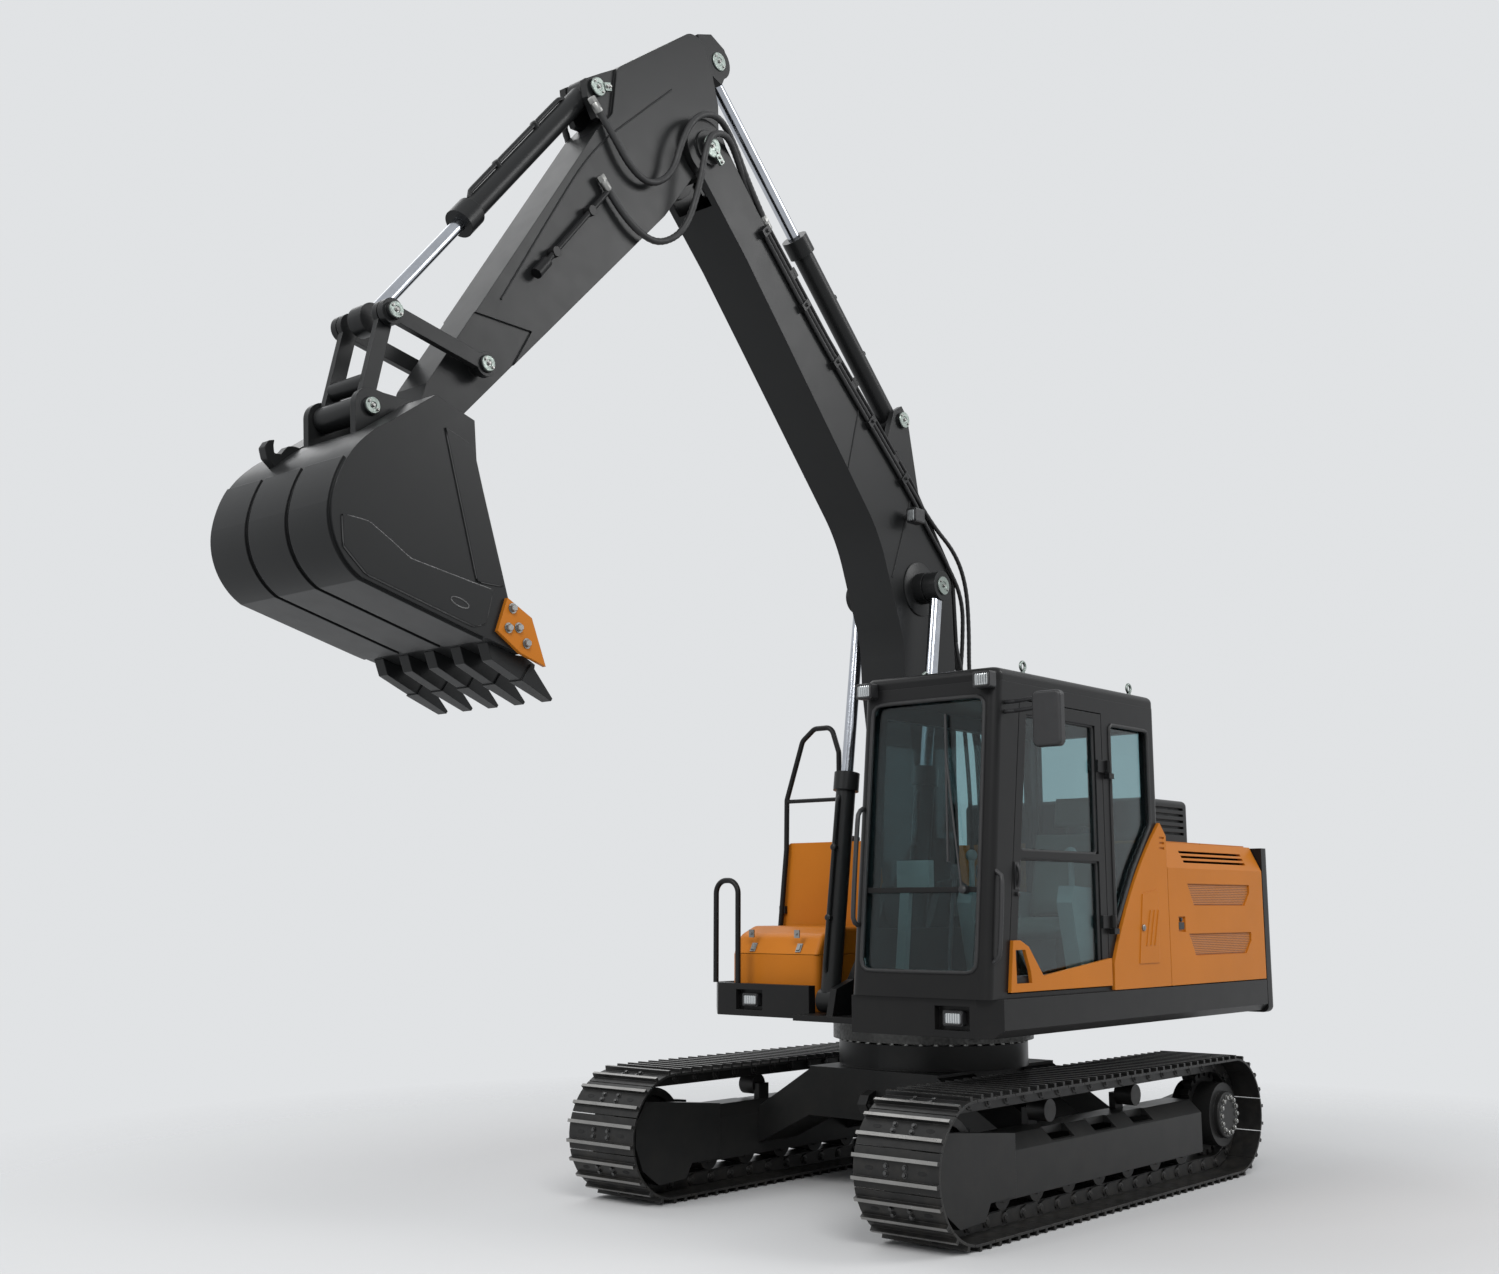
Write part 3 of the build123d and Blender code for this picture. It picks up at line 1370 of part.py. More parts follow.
adapter_profile = [
    lip, along(lip_heel, lip, 98), (3830, 2655), (3700, 2600), (3600, 2560), (3585, 2660), (3650, 2690)
]
adapter_half = 32
tooth_root_centre = (3640, 2620)
tooth_tip = (3480, 2515)
tooth_root_size = (84, 92)
tooth_tip_size = (60, 14)
tooth_axis = Vector(tooth_tip[0] - tooth_root_centre[0], 0, tooth_tip[1] - tooth_root_centre[1])
with BuildPart() as bucket_teeth:
    for n in range(tooth_count):
        y = (n / (tooth_count - 1) - 0.5) * tooth_span
        slab(adapter_profile, y - adapter_half, y + adapter_half)
        with BuildSketch(Plane(at_y(tooth_root_centre, y), x_dir=(0, 1, 0), z_dir=tooth_axis)) as root:
            Rectangle(*tooth_root_size)
        with BuildSketch(Plane(at_y(tooth_tip, y), x_dir=(0, 1, 0), z_dir=tooth_axis)) as tip:
            Rectangle(*tooth_tip_size)
        loft([root.sketch, tip.sketch])
save(bucket_teeth, "bucket_teeth")

cutter_profile = [(3800, 2920), (3850, 2770), (3720, 2690), (3574, 2647), (3660, 2850)]
cutter_thickness = 20
with BuildPart() as side_cutters:
    slab_pair(cutter_profile, bucket_half, bucket_half + cutter_thickness)
save(side_cutters, "side_cutters")
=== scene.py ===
"""Crawler excavator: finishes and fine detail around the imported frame. Metres."""
import json
import math

import bmesh
import bpy
from mathutils import Matrix, Vector


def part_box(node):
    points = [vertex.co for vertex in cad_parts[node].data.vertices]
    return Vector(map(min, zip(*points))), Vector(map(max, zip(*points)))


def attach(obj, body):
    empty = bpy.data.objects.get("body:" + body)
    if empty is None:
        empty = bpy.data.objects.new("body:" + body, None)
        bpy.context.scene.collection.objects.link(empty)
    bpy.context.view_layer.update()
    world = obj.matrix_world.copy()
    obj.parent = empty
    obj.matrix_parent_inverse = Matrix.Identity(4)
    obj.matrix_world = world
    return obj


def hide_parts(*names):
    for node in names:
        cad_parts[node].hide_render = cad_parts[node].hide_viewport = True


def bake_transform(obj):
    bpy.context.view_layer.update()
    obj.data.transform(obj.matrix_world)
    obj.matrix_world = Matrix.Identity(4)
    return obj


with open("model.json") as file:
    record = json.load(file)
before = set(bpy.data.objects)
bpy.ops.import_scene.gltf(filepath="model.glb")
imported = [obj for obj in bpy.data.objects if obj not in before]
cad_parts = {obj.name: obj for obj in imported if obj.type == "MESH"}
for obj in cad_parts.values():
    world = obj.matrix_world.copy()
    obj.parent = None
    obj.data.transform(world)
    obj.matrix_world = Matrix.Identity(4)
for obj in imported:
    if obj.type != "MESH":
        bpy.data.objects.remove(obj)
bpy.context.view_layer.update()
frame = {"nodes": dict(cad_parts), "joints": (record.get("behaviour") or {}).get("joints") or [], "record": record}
NODES = frame["nodes"]
PINS = {joint["name"]: Vector(joint["pos_m"]) for joint in frame["joints"] if "pos_m" in joint}
SIDES = ((1, "left"), (-1, "right"))

# Camera of the photograph
CAMERA_PLACE = (8.3708, 5.7346, 1.6069)
CAMERA_YAW = -2.43252
CAMERA_PITCH = 0.16388
SENSOR = 36.0
LENS = 39.46
CLIP_END = 200


def add_object(name, data):
    """Object with its data, in the scene."""
    obj = bpy.data.objects.new(name, data)
    bpy.context.scene.collection.objects.link(obj)
    return obj


def aim(obj, ahead):
    """Turn a camera or lamp so that it looks along a direction."""
    obj.rotation_euler = ahead.to_track_quat("-Z", "Y").to_euler()


def make_camera():
    """Camera at the photograph's viewing angle."""
    data = bpy.data.cameras.new("camera")
    data.sensor_fit = "HORIZONTAL"
    data.sensor_width = SENSOR
    data.lens = LENS
    data.clip_end = CLIP_END
    camera = add_object("camera", data)
    level = math.cos(CAMERA_PITCH)
    camera.location = CAMERA_PLACE
    aim(camera, Vector((level * math.cos(CAMERA_YAW), level * math.sin(CAMERA_YAW), math.sin(CAMERA_PITCH))))
    bpy.context.scene.camera = camera


# Node helpers


def new_material(name, finish, *values):
    """Material whose node tree and principled shader get a finish."""
    material = bpy.data.materials.new(name)
    material.use_nodes = True
    finish(material.node_tree, material.node_tree.nodes["Principled BSDF"], *values)
    return material


def fill(node, values):
    """Link sockets into a node's inputs, and set constants on the inputs themselves."""
    for key, value in values.items():
        socket = node.inputs[key]
        if isinstance(value, bpy.types.NodeSocket):
            node.id_data.links.new(value, socket)
        else:
            socket.default_value = (*value, 1) if socket.type == "RGBA" else value


def add_node(tree, kind, inputs=None, **settings):
    """Shader node with its settings made and its inputs filled."""
    node = tree.nodes.new(f"ShaderNode{kind}")
    for key, value in settings.items():
        setattr(node, key, value)
    fill(node, inputs or {})
    return node


def object_place(tree):
    """The object's own coordinates."""
    return add_node(tree, "TexCoord").outputs["Object"]


def noise(tree, scale, detail=4.0, rough=0.55):
    """Noise in the object's own coordinates."""
    values = {"Vector": object_place(tree), "Scale": scale, "Detail": detail, "Roughness": rough}
    return add_node(tree, "TexNoise", values).outputs["Fac"]


def grey(value):
    """Neutral colour of a brightness."""
    return (value, value, value)


def shade(colour, factor):
    """Colour made darker or lighter."""
    return tuple(min(channel * factor, 1.0) for channel in colour)


def ramp(value, first, second, places=(0.3, 0.7)):
    """Colour ramp from a value, between two colours or greys at two places."""
    node = add_node(value.id_data, "ValToRGB", {"Fac": value})
    for element, place, tone in zip(node.color_ramp.elements, places, (first, second)):
        element.position = place
        element.color = (*(tone if isinstance(tone, tuple) else grey(tone)), 1)
    return node.outputs["Color"]


def mix_colour(factor, first, second):
    """Mix of two colours, each a socket or a value."""
    values = {"Factor": factor, 6: first, 7: second}
    return add_node(factor.id_data, "Mix", values, data_type="RGBA").outputs[2]


def math_node(operation, first, second):
    """Result of an operation on two values."""
    return add_node(first.id_data, "Math", {0: first, 1: second}, operation=operation).outputs[0]


def multiply(first, second):
    """Product of two values."""
    return math_node("MULTIPLY", first, second)


def mix_shaders(factor, first, second, output="Material Output"):
    """Surface between two shaders."""
    tree = factor.id_data
    mix = add_node(tree, "MixShader", {0: factor, 1: first.outputs[0], 2: second.outputs[0]})
    fill(tree.nodes[output], {"Surface": mix.outputs[0]})


def soft_edges(tree, radius):
    """Normal with rounded edges, and a mask of those edges."""
    bevel = add_node(tree, "Bevel", {"Radius": radius}, samples=4).outputs[0]
    normal = add_node(tree, "NewGeometry").outputs["Normal"]
    dot = add_node(tree, "VectorMath", {0: bevel, 1: normal}, operation="DOT_PRODUCT")
    return bevel, ramp(dot.outputs["Value"], 1.0, 0.0, (0.75, 0.97))


def height_mask(tree, bottom, top, amount):
    """Mask that fades upward from the ground."""
    place = add_node(tree, "NewGeometry").outputs["Position"]
    height = add_node(tree, "SeparateXYZ", {0: place}).outputs["Z"]
    values = {"Value": height, "From Min": top, "From Max": bottom, "To Max": amount}
    return add_node(tree, "MapRange", values).outputs[0]


def add_bump(shader, value, strength, distance=0.001, normal=None):
    """Bump from a value, on top of a normal where one is given."""
    node = add_node(value.id_data, "Bump", {"Strength": strength, "Distance": distance, "Height": value})
    if normal:
        fill(node, {"Normal": normal})
    fill(shader, {"Normal": node.outputs["Normal"]})


# Finishes
DUST = (0.20, 0.175, 0.14)
ORANGE = (0.54, 0.172, 0.014)
CHARCOAL = (0.0135, 0.014, 0.0143)
BLACK = (0.009, 0.009, 0.0093)


def make_paint(tree, shader, colour, rough, edge_wear_and_highlight, dust, sheen):
    """Sprayed paint: soft edges, faint orange peel, uneven gloss, lighter edges that are painted highlight as well
    as rubbed wear, and dust low down.
    """
    normal, edges = soft_edges(tree, 0.005)
    tone = ramp(noise(tree, 1.6), shade(colour, 0.94), shade(colour, 1.06))
    # Edges lightened to a brighter copy of the paint colour: painted highlight along the edges, partly rubbed
    # wear.
    rubbed_and_highlit = mix_colour(multiply(edges, edge_wear_and_highlight), tone, shade(colour, 2.2))
    spots = ramp(noise(tree, 6.0, 8.0, 0.65), 0.25, 1.0, (0.4, 0.75))
    dirt = multiply(height_mask(tree, 0.0, 2.2, dust), spots)
    fill(shader, {
        "Base Color": mix_colour(dirt, rubbed_and_highlit, DUST),
        "Roughness": ramp(noise(tree, 9.0, 6.0), rough - 0.02, rough + 0.03, (0.3, 0.75)),
        "Specular IOR Level": sheen,
    })
    add_bump(shader, noise(tree, 420.0, 2.0), 0.03, normal=normal)


def make_metal(tree, shader, colour, rough, scratch_scale):
    """Bare metal with fine scratches and uneven gloss."""
    fill(shader, {
        "Metallic": 1.0,
        "Base Color": ramp(noise(tree, 8.0, 6.0), shade(colour, 0.85), shade(colour, 1.05)),
        "Roughness": ramp(noise(tree, scratch_scale, 8.0), rough * 0.75, rough * 1.35, (0.35, 0.7)),
    })


def make_track_steel(tree, shader):
    """Dark cast steel of the shoes, with lighter edges that are rubbed wear and painted highlight, and a little
    dried mud.
    """
    normal, edges = soft_edges(tree, 0.004)
    tone = ramp(noise(tree, 7.0, 6.0, 0.6), 0.012, 0.022, (0.3, 0.72))
    # Lighter grey on the edges: painted highlight, partly rubbed bare steel.
    rubbed_and_highlit = mix_colour(multiply(edges, 0.55), tone, (0.12, 0.117, 0.113))
    spots = ramp(noise(tree, 12.0, 8.0, 0.65), 0.1, 1.0, (0.45, 0.75))
    dirt = multiply(height_mask(tree, -0.1, 0.9, 0.16), spots)
    fill(shader, {
        "Base Color": mix_colour(dirt, rubbed_and_highlit, DUST),
        "Metallic": 0.2,
        "Specular IOR Level": 0.3,
        "Roughness": ramp(noise(tree, 24.0, 6.0), 0.3, 0.48, (0.3, 0.75)),
    })
    add_bump(shader, noise(tree, 160.0, 5.0), 0.12, 0.0015, normal)


def make_glass(tree, shader, colour):
    """Tinted safety glass with faint smears, that lets lamp light through."""
    fill(shader, {
        "Base Color": colour,
        "Transmission Weight": 1.0,
        "IOR": 1.35,
        "Roughness": ramp(noise(tree, 5.0, 6.0), 0.0, 0.012, (0.4, 0.8)),
    })
    shadow = add_node(tree, "LightPath").outputs["Is Shadow Ray"]
    mix_shaders(shadow, shader, add_node(tree, "BsdfTransparent", {"Color": colour}))


def make_plastic(tree, shader, colour, rough, grain, depth=0.15):
    """Moulded plastic, rubber or cloth with a fine grain."""
    fill(shader, {
        "Base Color": ramp(noise(tree, 6.0, 5.0), shade(colour, 0.88), shade(colour, 1.12)),
        "Roughness": ramp(noise(tree, 40.0), rough - 0.08, rough + 0.08),
    })
    add_bump(shader, noise(tree, grain, 2.0), depth)


def make_lens(tree, shader):
    """Ribbed lamp glass with a bright reflector behind it."""
    waves = add_node(tree, "TexWave", {"Vector": object_place(tree), "Scale": 22.0}, bands_direction="Y")
    ribs = waves.outputs["Fac"]
    fill(shader, {
        "Base Color": ramp(ribs, (0.26, 0.28, 0.29), (0.6, 0.62, 0.62), (0.2, 0.8)),
        "Metallic": 0.55,
        "Coat Weight": 1.0,
        "Roughness": ramp(noise(tree, 30.0), 0.1, 0.2),
    })
    add_bump(shader, ribs, 0.4, 0.002)


def make_mesh(tree, shader):
    """Punched black sheet behind the grilles, its holes painted darker as shade."""
    values = {"Vector": object_place(tree), "Scale": 90.0, "Randomness": 0.0}
    holes = add_node(tree, "TexVoronoi", values).outputs["Distance"]
    # Holes darker than the sheet: painted shade in the holes.
    fill(shader, {
        "Base Color": ramp(holes, 0.002, 0.03, (0.3, 0.42)),
        "Roughness": ramp(noise(tree, 20.0), 0.5, 0.65),
    })
    add_bump(shader, holes, 0.5, 0.003)


def make_punched(tree, shader, colour):
    """Painted sheet with rows of punched slots, the slots painted dark as the shade behind them."""
    turned = add_node(tree, "Mapping", {"Vector": object_place(tree), "Rotation": (math.pi / 2, 0, 0)})
    slots = add_node(tree, "TexBrick", {
        "Vector": turned.outputs["Vector"], "Scale": 1.0, "Brick Width": 0.021, "Row Height": 0.0105,
        "Mortar Size": 0.0034, "Mortar Smooth": 0.3,
    }).outputs["Fac"]
    # Slots a darker copy of the paint colour: painted shade in the openings.
    fill(shader, {
        "Base Color": ramp(slots, shade(colour, 0.12), shade(colour, 0.92)),
        "Roughness": ramp(noise(tree, 20.0), 0.4, 0.5),
    })
    add_bump(shader, slots, 0.6, 0.003)


FINISHES = {
    # Paint rows give colour, roughness, strength of the lighter edges (rubbed wear and painted highlight), dust
    # and sheen.
    "orange_paint": (make_paint, ORANGE, 0.36, 0.12, 0.04, 0.14),
    "charcoal_paint": (make_paint, CHARCOAL, 0.34, 0.7, 0.05, 0.2),
    "black_paint": (make_paint, BLACK, 0.36, 0.7, 0.04, 0.2),
    "track_steel": (make_track_steel,),
    "machined_steel": (make_metal, (0.075, 0.075, 0.073), 0.45, 60.0),
    "rod_chrome": (make_metal, (0.46, 0.48, 0.52), 0.16, 90.0),
    "pin_disc": (make_metal, (0.24, 0.275, 0.255), 0.42, 70.0),
    "bolt_steel": (make_metal, (0.30, 0.30, 0.29), 0.4, 80.0),
    # Grouser tops: worn bare steel, lightened as painted highlight.
    "shoe_top_worn_highlight": (make_metal, (0.30, 0.295, 0.285), 0.36, 120.0),
    "bolt_dark": (make_metal, grey(0.10), 0.45, 80.0),
    "cab_glass": (make_glass, (0.46, 0.60, 0.62)),
    "lamp_lens": (make_lens,),
    "black_plastic": (make_plastic, (0.016, 0.016, 0.017), 0.48, 500.0),
    "hose_rubber": (make_plastic, (0.012, 0.012, 0.0125), 0.55, 300.0),
    # Near-black for the mud hole discs: painted shade in the holes.
    "hole_shade": (make_plastic, grey(0.004), 0.8, 100.0),
    "grille_mesh": (make_mesh,),
    "grille_punched": (make_punched, ORANGE),
    "seat_fabric": (make_plastic, (0.10, 0.098, 0.088), 0.85, 900.0, 0.4),
    "console_grey": (make_plastic, (0.17, 0.18, 0.175), 0.55, 400.0),
    "cast_engine": (make_metal, grey(0.18), 0.5, 40.0),
}
MATERIALS = {name: new_material(name, *finish) for name, finish in FINISHES.items()}


# Shape helpers
HOSE_RADIUS = 0.017


def turns(count):
    """Angles of even steps around a circle."""
    return [2 * math.pi * k / count for k in range(count)]


def heading(angle):
    """Direction in the upright plane along the machine."""
    return Vector((math.cos(angle), 0, math.sin(angle)))


def across(y):
    """Step to the machine's left."""
    return Vector((0, y, 0))


def span(side, near, far):
    """Low and high y of what lies between two distances on one side."""
    return sorted((side * near, side * far))


def rectangle(low, high):
    """Corners of a 2-D rectangle."""
    return [(low[0], low[1]), (high[0], low[1]), (high[0], high[1]), (low[0], high[1])]


def rounded(corners, radius):
    """Closed outline of 2-D corners with rounded turns, as a list of points."""
    points = []
    count = len(corners)
    for n, corner in enumerate(corners):
        here = Vector(corner)
        back = (Vector(corners[n - 1]) - here).normalized() * radius
        ahead = (Vector(corners[(n + 1) % count]) - here).normalized() * radius
        for t in (0.0, 0.25, 0.5, 0.75, 1.0):
            points.append(here + back * (1 - t) ** 2 + ahead * t**2)
    return points


def mirrored(points):
    """The same points on the other side of the machine."""
    return [(x, -y, z) for x, y, z in points]


def islands(name):
    """Boxes (low, high) of the separate solids of a node."""
    mesh = NODES[name].data
    keys = [tuple(round(value, 4) for value in vertex.co) for vertex in mesh.vertices]
    parent = {key: key for key in keys}

    def root(key):
        while parent[key] != key:
            parent[key] = parent[parent[key]]
            key = parent[key]
        return key

    for polygon in mesh.polygons:
        first = root(keys[polygon.vertices[0]])
        for index in polygon.vertices[1:]:
            parent[root(keys[index])] = first
    boxes = {}
    for key in parent:
        low, high = boxes.setdefault(root(key), (list(key), list(key)))
        for axis in range(3):
            low[axis] = min(low[axis], key[axis])
            high[axis] = max(high[axis], key[axis])
    return [(Vector(low), Vector(high)) for low, high in boxes.values()]


def spline_route(points, spacing, closed):
    """Even points on the smooth spline that has these control points."""
    curve = bpy.data.curves.new("route", "CURVE")
    curve.dimensions = "3D"
    spline = curve.splines.new("NURBS")
    spline.points.add(len(points) - 1)
    for knot, point in zip(spline.points, points):
        knot.co = (*point, 1)
    spline.order_u = 3
    spline.use_endpoint_u = not closed
    spline.use_cyclic_u = closed
    spline.resolution_u = 24
    carrier = bpy.data.objects.new("route", curve)
    line = bpy.data.meshes.new_from_object(carrier)
    fine = [vertex.co.copy() for vertex in line.vertices]
    bpy.data.objects.remove(carrier)
    bpy.data.curves.remove(curve)
    bpy.data.meshes.remove(line)
    route = [fine[0]]
    for point in fine[1:]:
        if (point - route[-1]).length >= spacing:
            route.append(point)
    if not closed:
        route[-1] = fine[-1]
    return route


def finish_piece(mesh, name, material, body):
    """Object of a finished mesh, with its material and slot, riding on a body."""
    data = bpy.data.meshes.new(name)
    mesh.to_mesh(data)
    mesh.free()
    data.materials.append(MATERIALS[material])
    obj = add_object(name, data)
    if body:
        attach(obj, body)
    return obj


class Shape:
    """Collects simple solids into the mesh of one piece."""

    def __init__(self):
        self.mesh = bmesh.new()

    def loft(self, rings, closed=False):
        """Skin through rings of points, capped unless the rings close on themselves."""
        rows = [[self.mesh.verts.new(point) for point in ring] for ring in rings]
        pairs = list(zip(rows, rows[1:]))
        if closed:
            pairs.append((rows[-1], rows[0]))
        for first, second in pairs:
            for i in range(len(first)):
                k = (i + 1) % len(first)
                self.mesh.faces.new((first[i], first[k], second[k], second[i]))
        if not closed:
            self.mesh.faces.new(rows[0][::-1])
            self.mesh.faces.new(rows[-1])

    def box(self, low, high):
        """Box between two corners."""
        self.prism(rectangle((low[0], low[2]), (high[0], high[2])), low[1], high[1])

    def prism(self, outline, y_low, y_high):
        """Plate with an outline of (x, z) points between two y positions."""
        self.loft([[Vector((x, y, z)) for x, z in outline] for y in (y_low, y_high)])

    def spin(self, profile, base, axis, steps):
        """Turned solid: profile of (radius, height) along an axis from a base point."""
        turn = Vector(axis).to_track_quat("Z", "X")
        rings = []
        for radius, height in profile:
            ring = [Vector((radius * math.cos(a), radius * math.sin(a), height)) for a in turns(steps)]
            rings.append([Vector(base) + turn @ point for point in ring])
        self.loft(rings)

    def bolt(self, place, axis, radius):
        """Hexagon head on a washer."""
        self.spin([(radius * 1.35, 0), (radius * 1.35, radius * 0.22)], place, axis, 16)
        head = Vector(place) + Vector(axis).normalized() * radius * 0.2
        self.spin([(radius, 0), (radius, radius * 0.8), (radius * 0.8, radius)], head, axis, 6)

    def tube(self, points, radius, sides=12, spacing=0.03, closed=False, ribs=0.0):
        """Round tube along a smooth route, with rings along it where ribs are asked for."""
        route = spline_route(points, spacing, closed)
        rings = []
        side = None
        for n, point in enumerate(route):
            ahead = route[(n + 1) % len(route)] if closed or n + 1 < len(route) else point
            behind = route[n - 1] if closed or n else point
            tangent = (ahead - behind).normalized()
            if side is None:
                side = tangent.orthogonal().normalized()
            side = (side - tangent * side.dot(tangent)).normalized()
            other = tangent.cross(side)
            grown = radius * (1 + ribs * (n % 2))
            rings.append([point + grown * (side * math.cos(a) + other * math.sin(a)) for a in turns(sides)])
        self.loft(rings, closed)

    def fitting(self, place, axis, radius=HOSE_RADIUS):
        """Crimped end and union nut of a hose."""
        crimp = [(radius * 1.1, 0), (radius * 1.3, 0.006), (radius * 1.3, 0.05), (radius * 1.1, 0.056)]
        self.spin(crimp, place, axis, 20)
        nut = Vector(place) + Vector(axis).normalized() * 0.054
        self.spin([(radius * 1.4, 0), (radius * 1.4, 0.026), (radius * 1.2, 0.032)], nut, axis, 6)

    def piece(self, name, material, body=None, angle=0.6):
        """Finished object with smooth and sharp edges, riding on a body."""
        bmesh.ops.recalc_face_normals(self.mesh, faces=self.mesh.faces)
        for face in self.mesh.faces:
            face.smooth = True
        for edge in self.mesh.edges:
            edge.smooth = len(edge.link_faces) == 2 and edge.calc_face_angle() < angle
        return finish_piece(self.mesh, name, material, body)


# Pins
BOOM_FOOT = PINS["boom_lift"]
BOOM_TIP = PINS["arm_swing"]
BUCKET_PIVOT = PINS["bucket_turn"]
BOOM_CYLINDER_FOOT = PINS["boom_barrel_hinge"]
ARM_CYLINDER_FOOT = PINS["arm_barrel_hinge"]
BUCKET_CYLINDER_FOOT = PINS["bucket_barrel_hinge"]
ROCKER_PIVOT = PINS["rocker_hinge"]
LINK_FOOT = PINS["link_hinge"]
BOOM_CYLINDER_EYE = Vector((0.294, 0, 3.513))
ARM_CYLINDER_EYE = Vector((2.057, 0, 6.238))
LINK_TOP = Vector((4.254, 0, 4.142))
PIN_ENDS = (
    ("upper", BOOM_FOOT, 0.240, 0.058), ("upper", BOOM_CYLINDER_FOOT, 0.343, 0.05),
    ("boom", BOOM_TIP, 0.190, 0.062), ("boom", ARM_CYLINDER_FOOT, 0.110, 0.05),
    ("boom_rods", BOOM_CYLINDER_EYE, 0.330, 0.056), ("arm", ARM_CYLINDER_EYE, 0.092, 0.052),
    ("arm", BUCKET_CYLINDER_FOOT, 0.110, 0.048), ("arm", ROCKER_PIVOT, 0.193, 0.037),
    ("arm", BUCKET_PIVOT, 0.193, 0.037), ("rocker", LINK_TOP, 0.205, 0.037),
    ("bucket", LINK_FOOT, 0.195, 0.037),
)
PIN_CAP_RISE = 0.009
PIN_CAP_DISH = PIN_CAP_RISE - 0.003
KEEPERS = (("boom", BOOM_TIP, 0.190, 0.062, -2.36), ("arm", BUCKET_CYLINDER_FOOT, 0.110, 0.048, 2.8))
KEEPER_HALF = 0.021
KEEPER_RISE = 0.014


def add_pin_caps():
    """Pale discs with grease nipples on the ends of the pins, and keeper plates, two pieces for each body."""
    for body in dict.fromkeys(row[0] for row in PIN_ENDS):
        caps = Shape()
        nipples = Shape()
        for _, centre, reach, radius in (row for row in PIN_ENDS if row[0] == body):
            for side in (1, -1):
                base = Vector((centre.x, side * reach, centre.z))
                axis = (0, side, 0)
                caps.spin(
                    [(radius, 0), (radius, 0.006), (radius - 0.003, PIN_CAP_RISE),
                     (radius * 0.45, PIN_CAP_RISE), (radius * 0.4, PIN_CAP_DISH), (0.006, PIN_CAP_DISH)],
                    base, axis, 40,
                )
                nipples.bolt(base + across(side * PIN_CAP_DISH), axis, 0.009)
                for turn in (0.6, 3.74):
                    spot = base + heading(turn) * radius * 0.72
                    nipples.bolt(spot + across(side * PIN_CAP_RISE), axis, 0.006)
        for _, centre, reach, radius, turn in (row for row in KEEPERS if row[0] == body):
            ahead = heading(turn)
            edge = Vector((-ahead.z, 0, ahead.x)) * KEEPER_HALF
            outline = []
            for share, half in ((0.8, -1), (1.75, -1), (1.75, 1), (0.8, 1)):
                spot = centre + ahead * radius * share + edge * half
                outline.append((spot.x, spot.z))
            for side in (1, -1):
                caps.prism(rounded(outline, 0.006), *span(side, reach - 0.002, reach + KEEPER_RISE))
                for share in (1.15, 1.55):
                    spot = centre + ahead * radius * share
                    nipples.bolt((spot.x, side * (reach + KEEPER_RISE), spot.z), (0, side, 0), 0.008)
        caps.piece(f"pin_caps_{body}", "pin_disc", body)
        nipples.piece(f"grease_nipples_{body}", "bolt_steel", body)


# Tracks
TUMBLER_X = 1.45
TRACK_Z = 0.36
TRACK_Y = 0.995
SHOE_COUNT = 44
PLATE_RADIUS = 0.338
PITCH_RADIUS = 0.288
GROUSER_HEIGHT = 0.022
SHOE_BOLTS = ((0.017, 0.055), (-0.017, 0.055), (0.017, -0.055), (-0.017, -0.055))
SHOE_HOLE_Y = 0.155
SHOE_HOLE = (0.011, 0.026)
LINK_HALF = 0.075
LINK_THICKNESS = 0.009
LINK_BOSS = ((0.026, 0), (0.026, 0.014), (0.015, 0.016), (0.014, 0.022), (0.004, 0.022))
LINK_PLATE = ((-0.07, -0.026), (-0.05, -0.034), (0.05, -0.034), (0.07, -0.026), (0.06, 0.03), (-0.06, 0.03))
DRIVE_RING = 0.105


def track_place(travel, radius):
    """Point on the track loop and its outward direction, after a travel along the chain."""
    straight = 2 * TUMBLER_X
    arc = math.pi * PITCH_RADIUS
    if travel < straight:
        return Vector((travel - TUMBLER_X, 0, TRACK_Z - radius)), Vector((0, 0, -1))
    if straight + arc <= travel < 2 * straight + arc:
        return Vector((TUMBLER_X - travel + straight + arc, 0, TRACK_Z + radius)), Vector((0, 0, 1))
    rear = travel >= 2 * straight + arc
    turned = travel - (2 * straight + arc if rear else straight)
    out = heading(turned / PITCH_RADIUS + (math.pi / 2 if rear else -math.pi / 2))
    return Vector((-TUMBLER_X if rear else TUMBLER_X, 0, TRACK_Z)) + out * radius, out


def track_radius(point):
    """Distance of a point from the line between the tumblers."""
    return math.hypot(max(abs(point.x) - TUMBLER_X, 0.0), point.z - TRACK_Z)


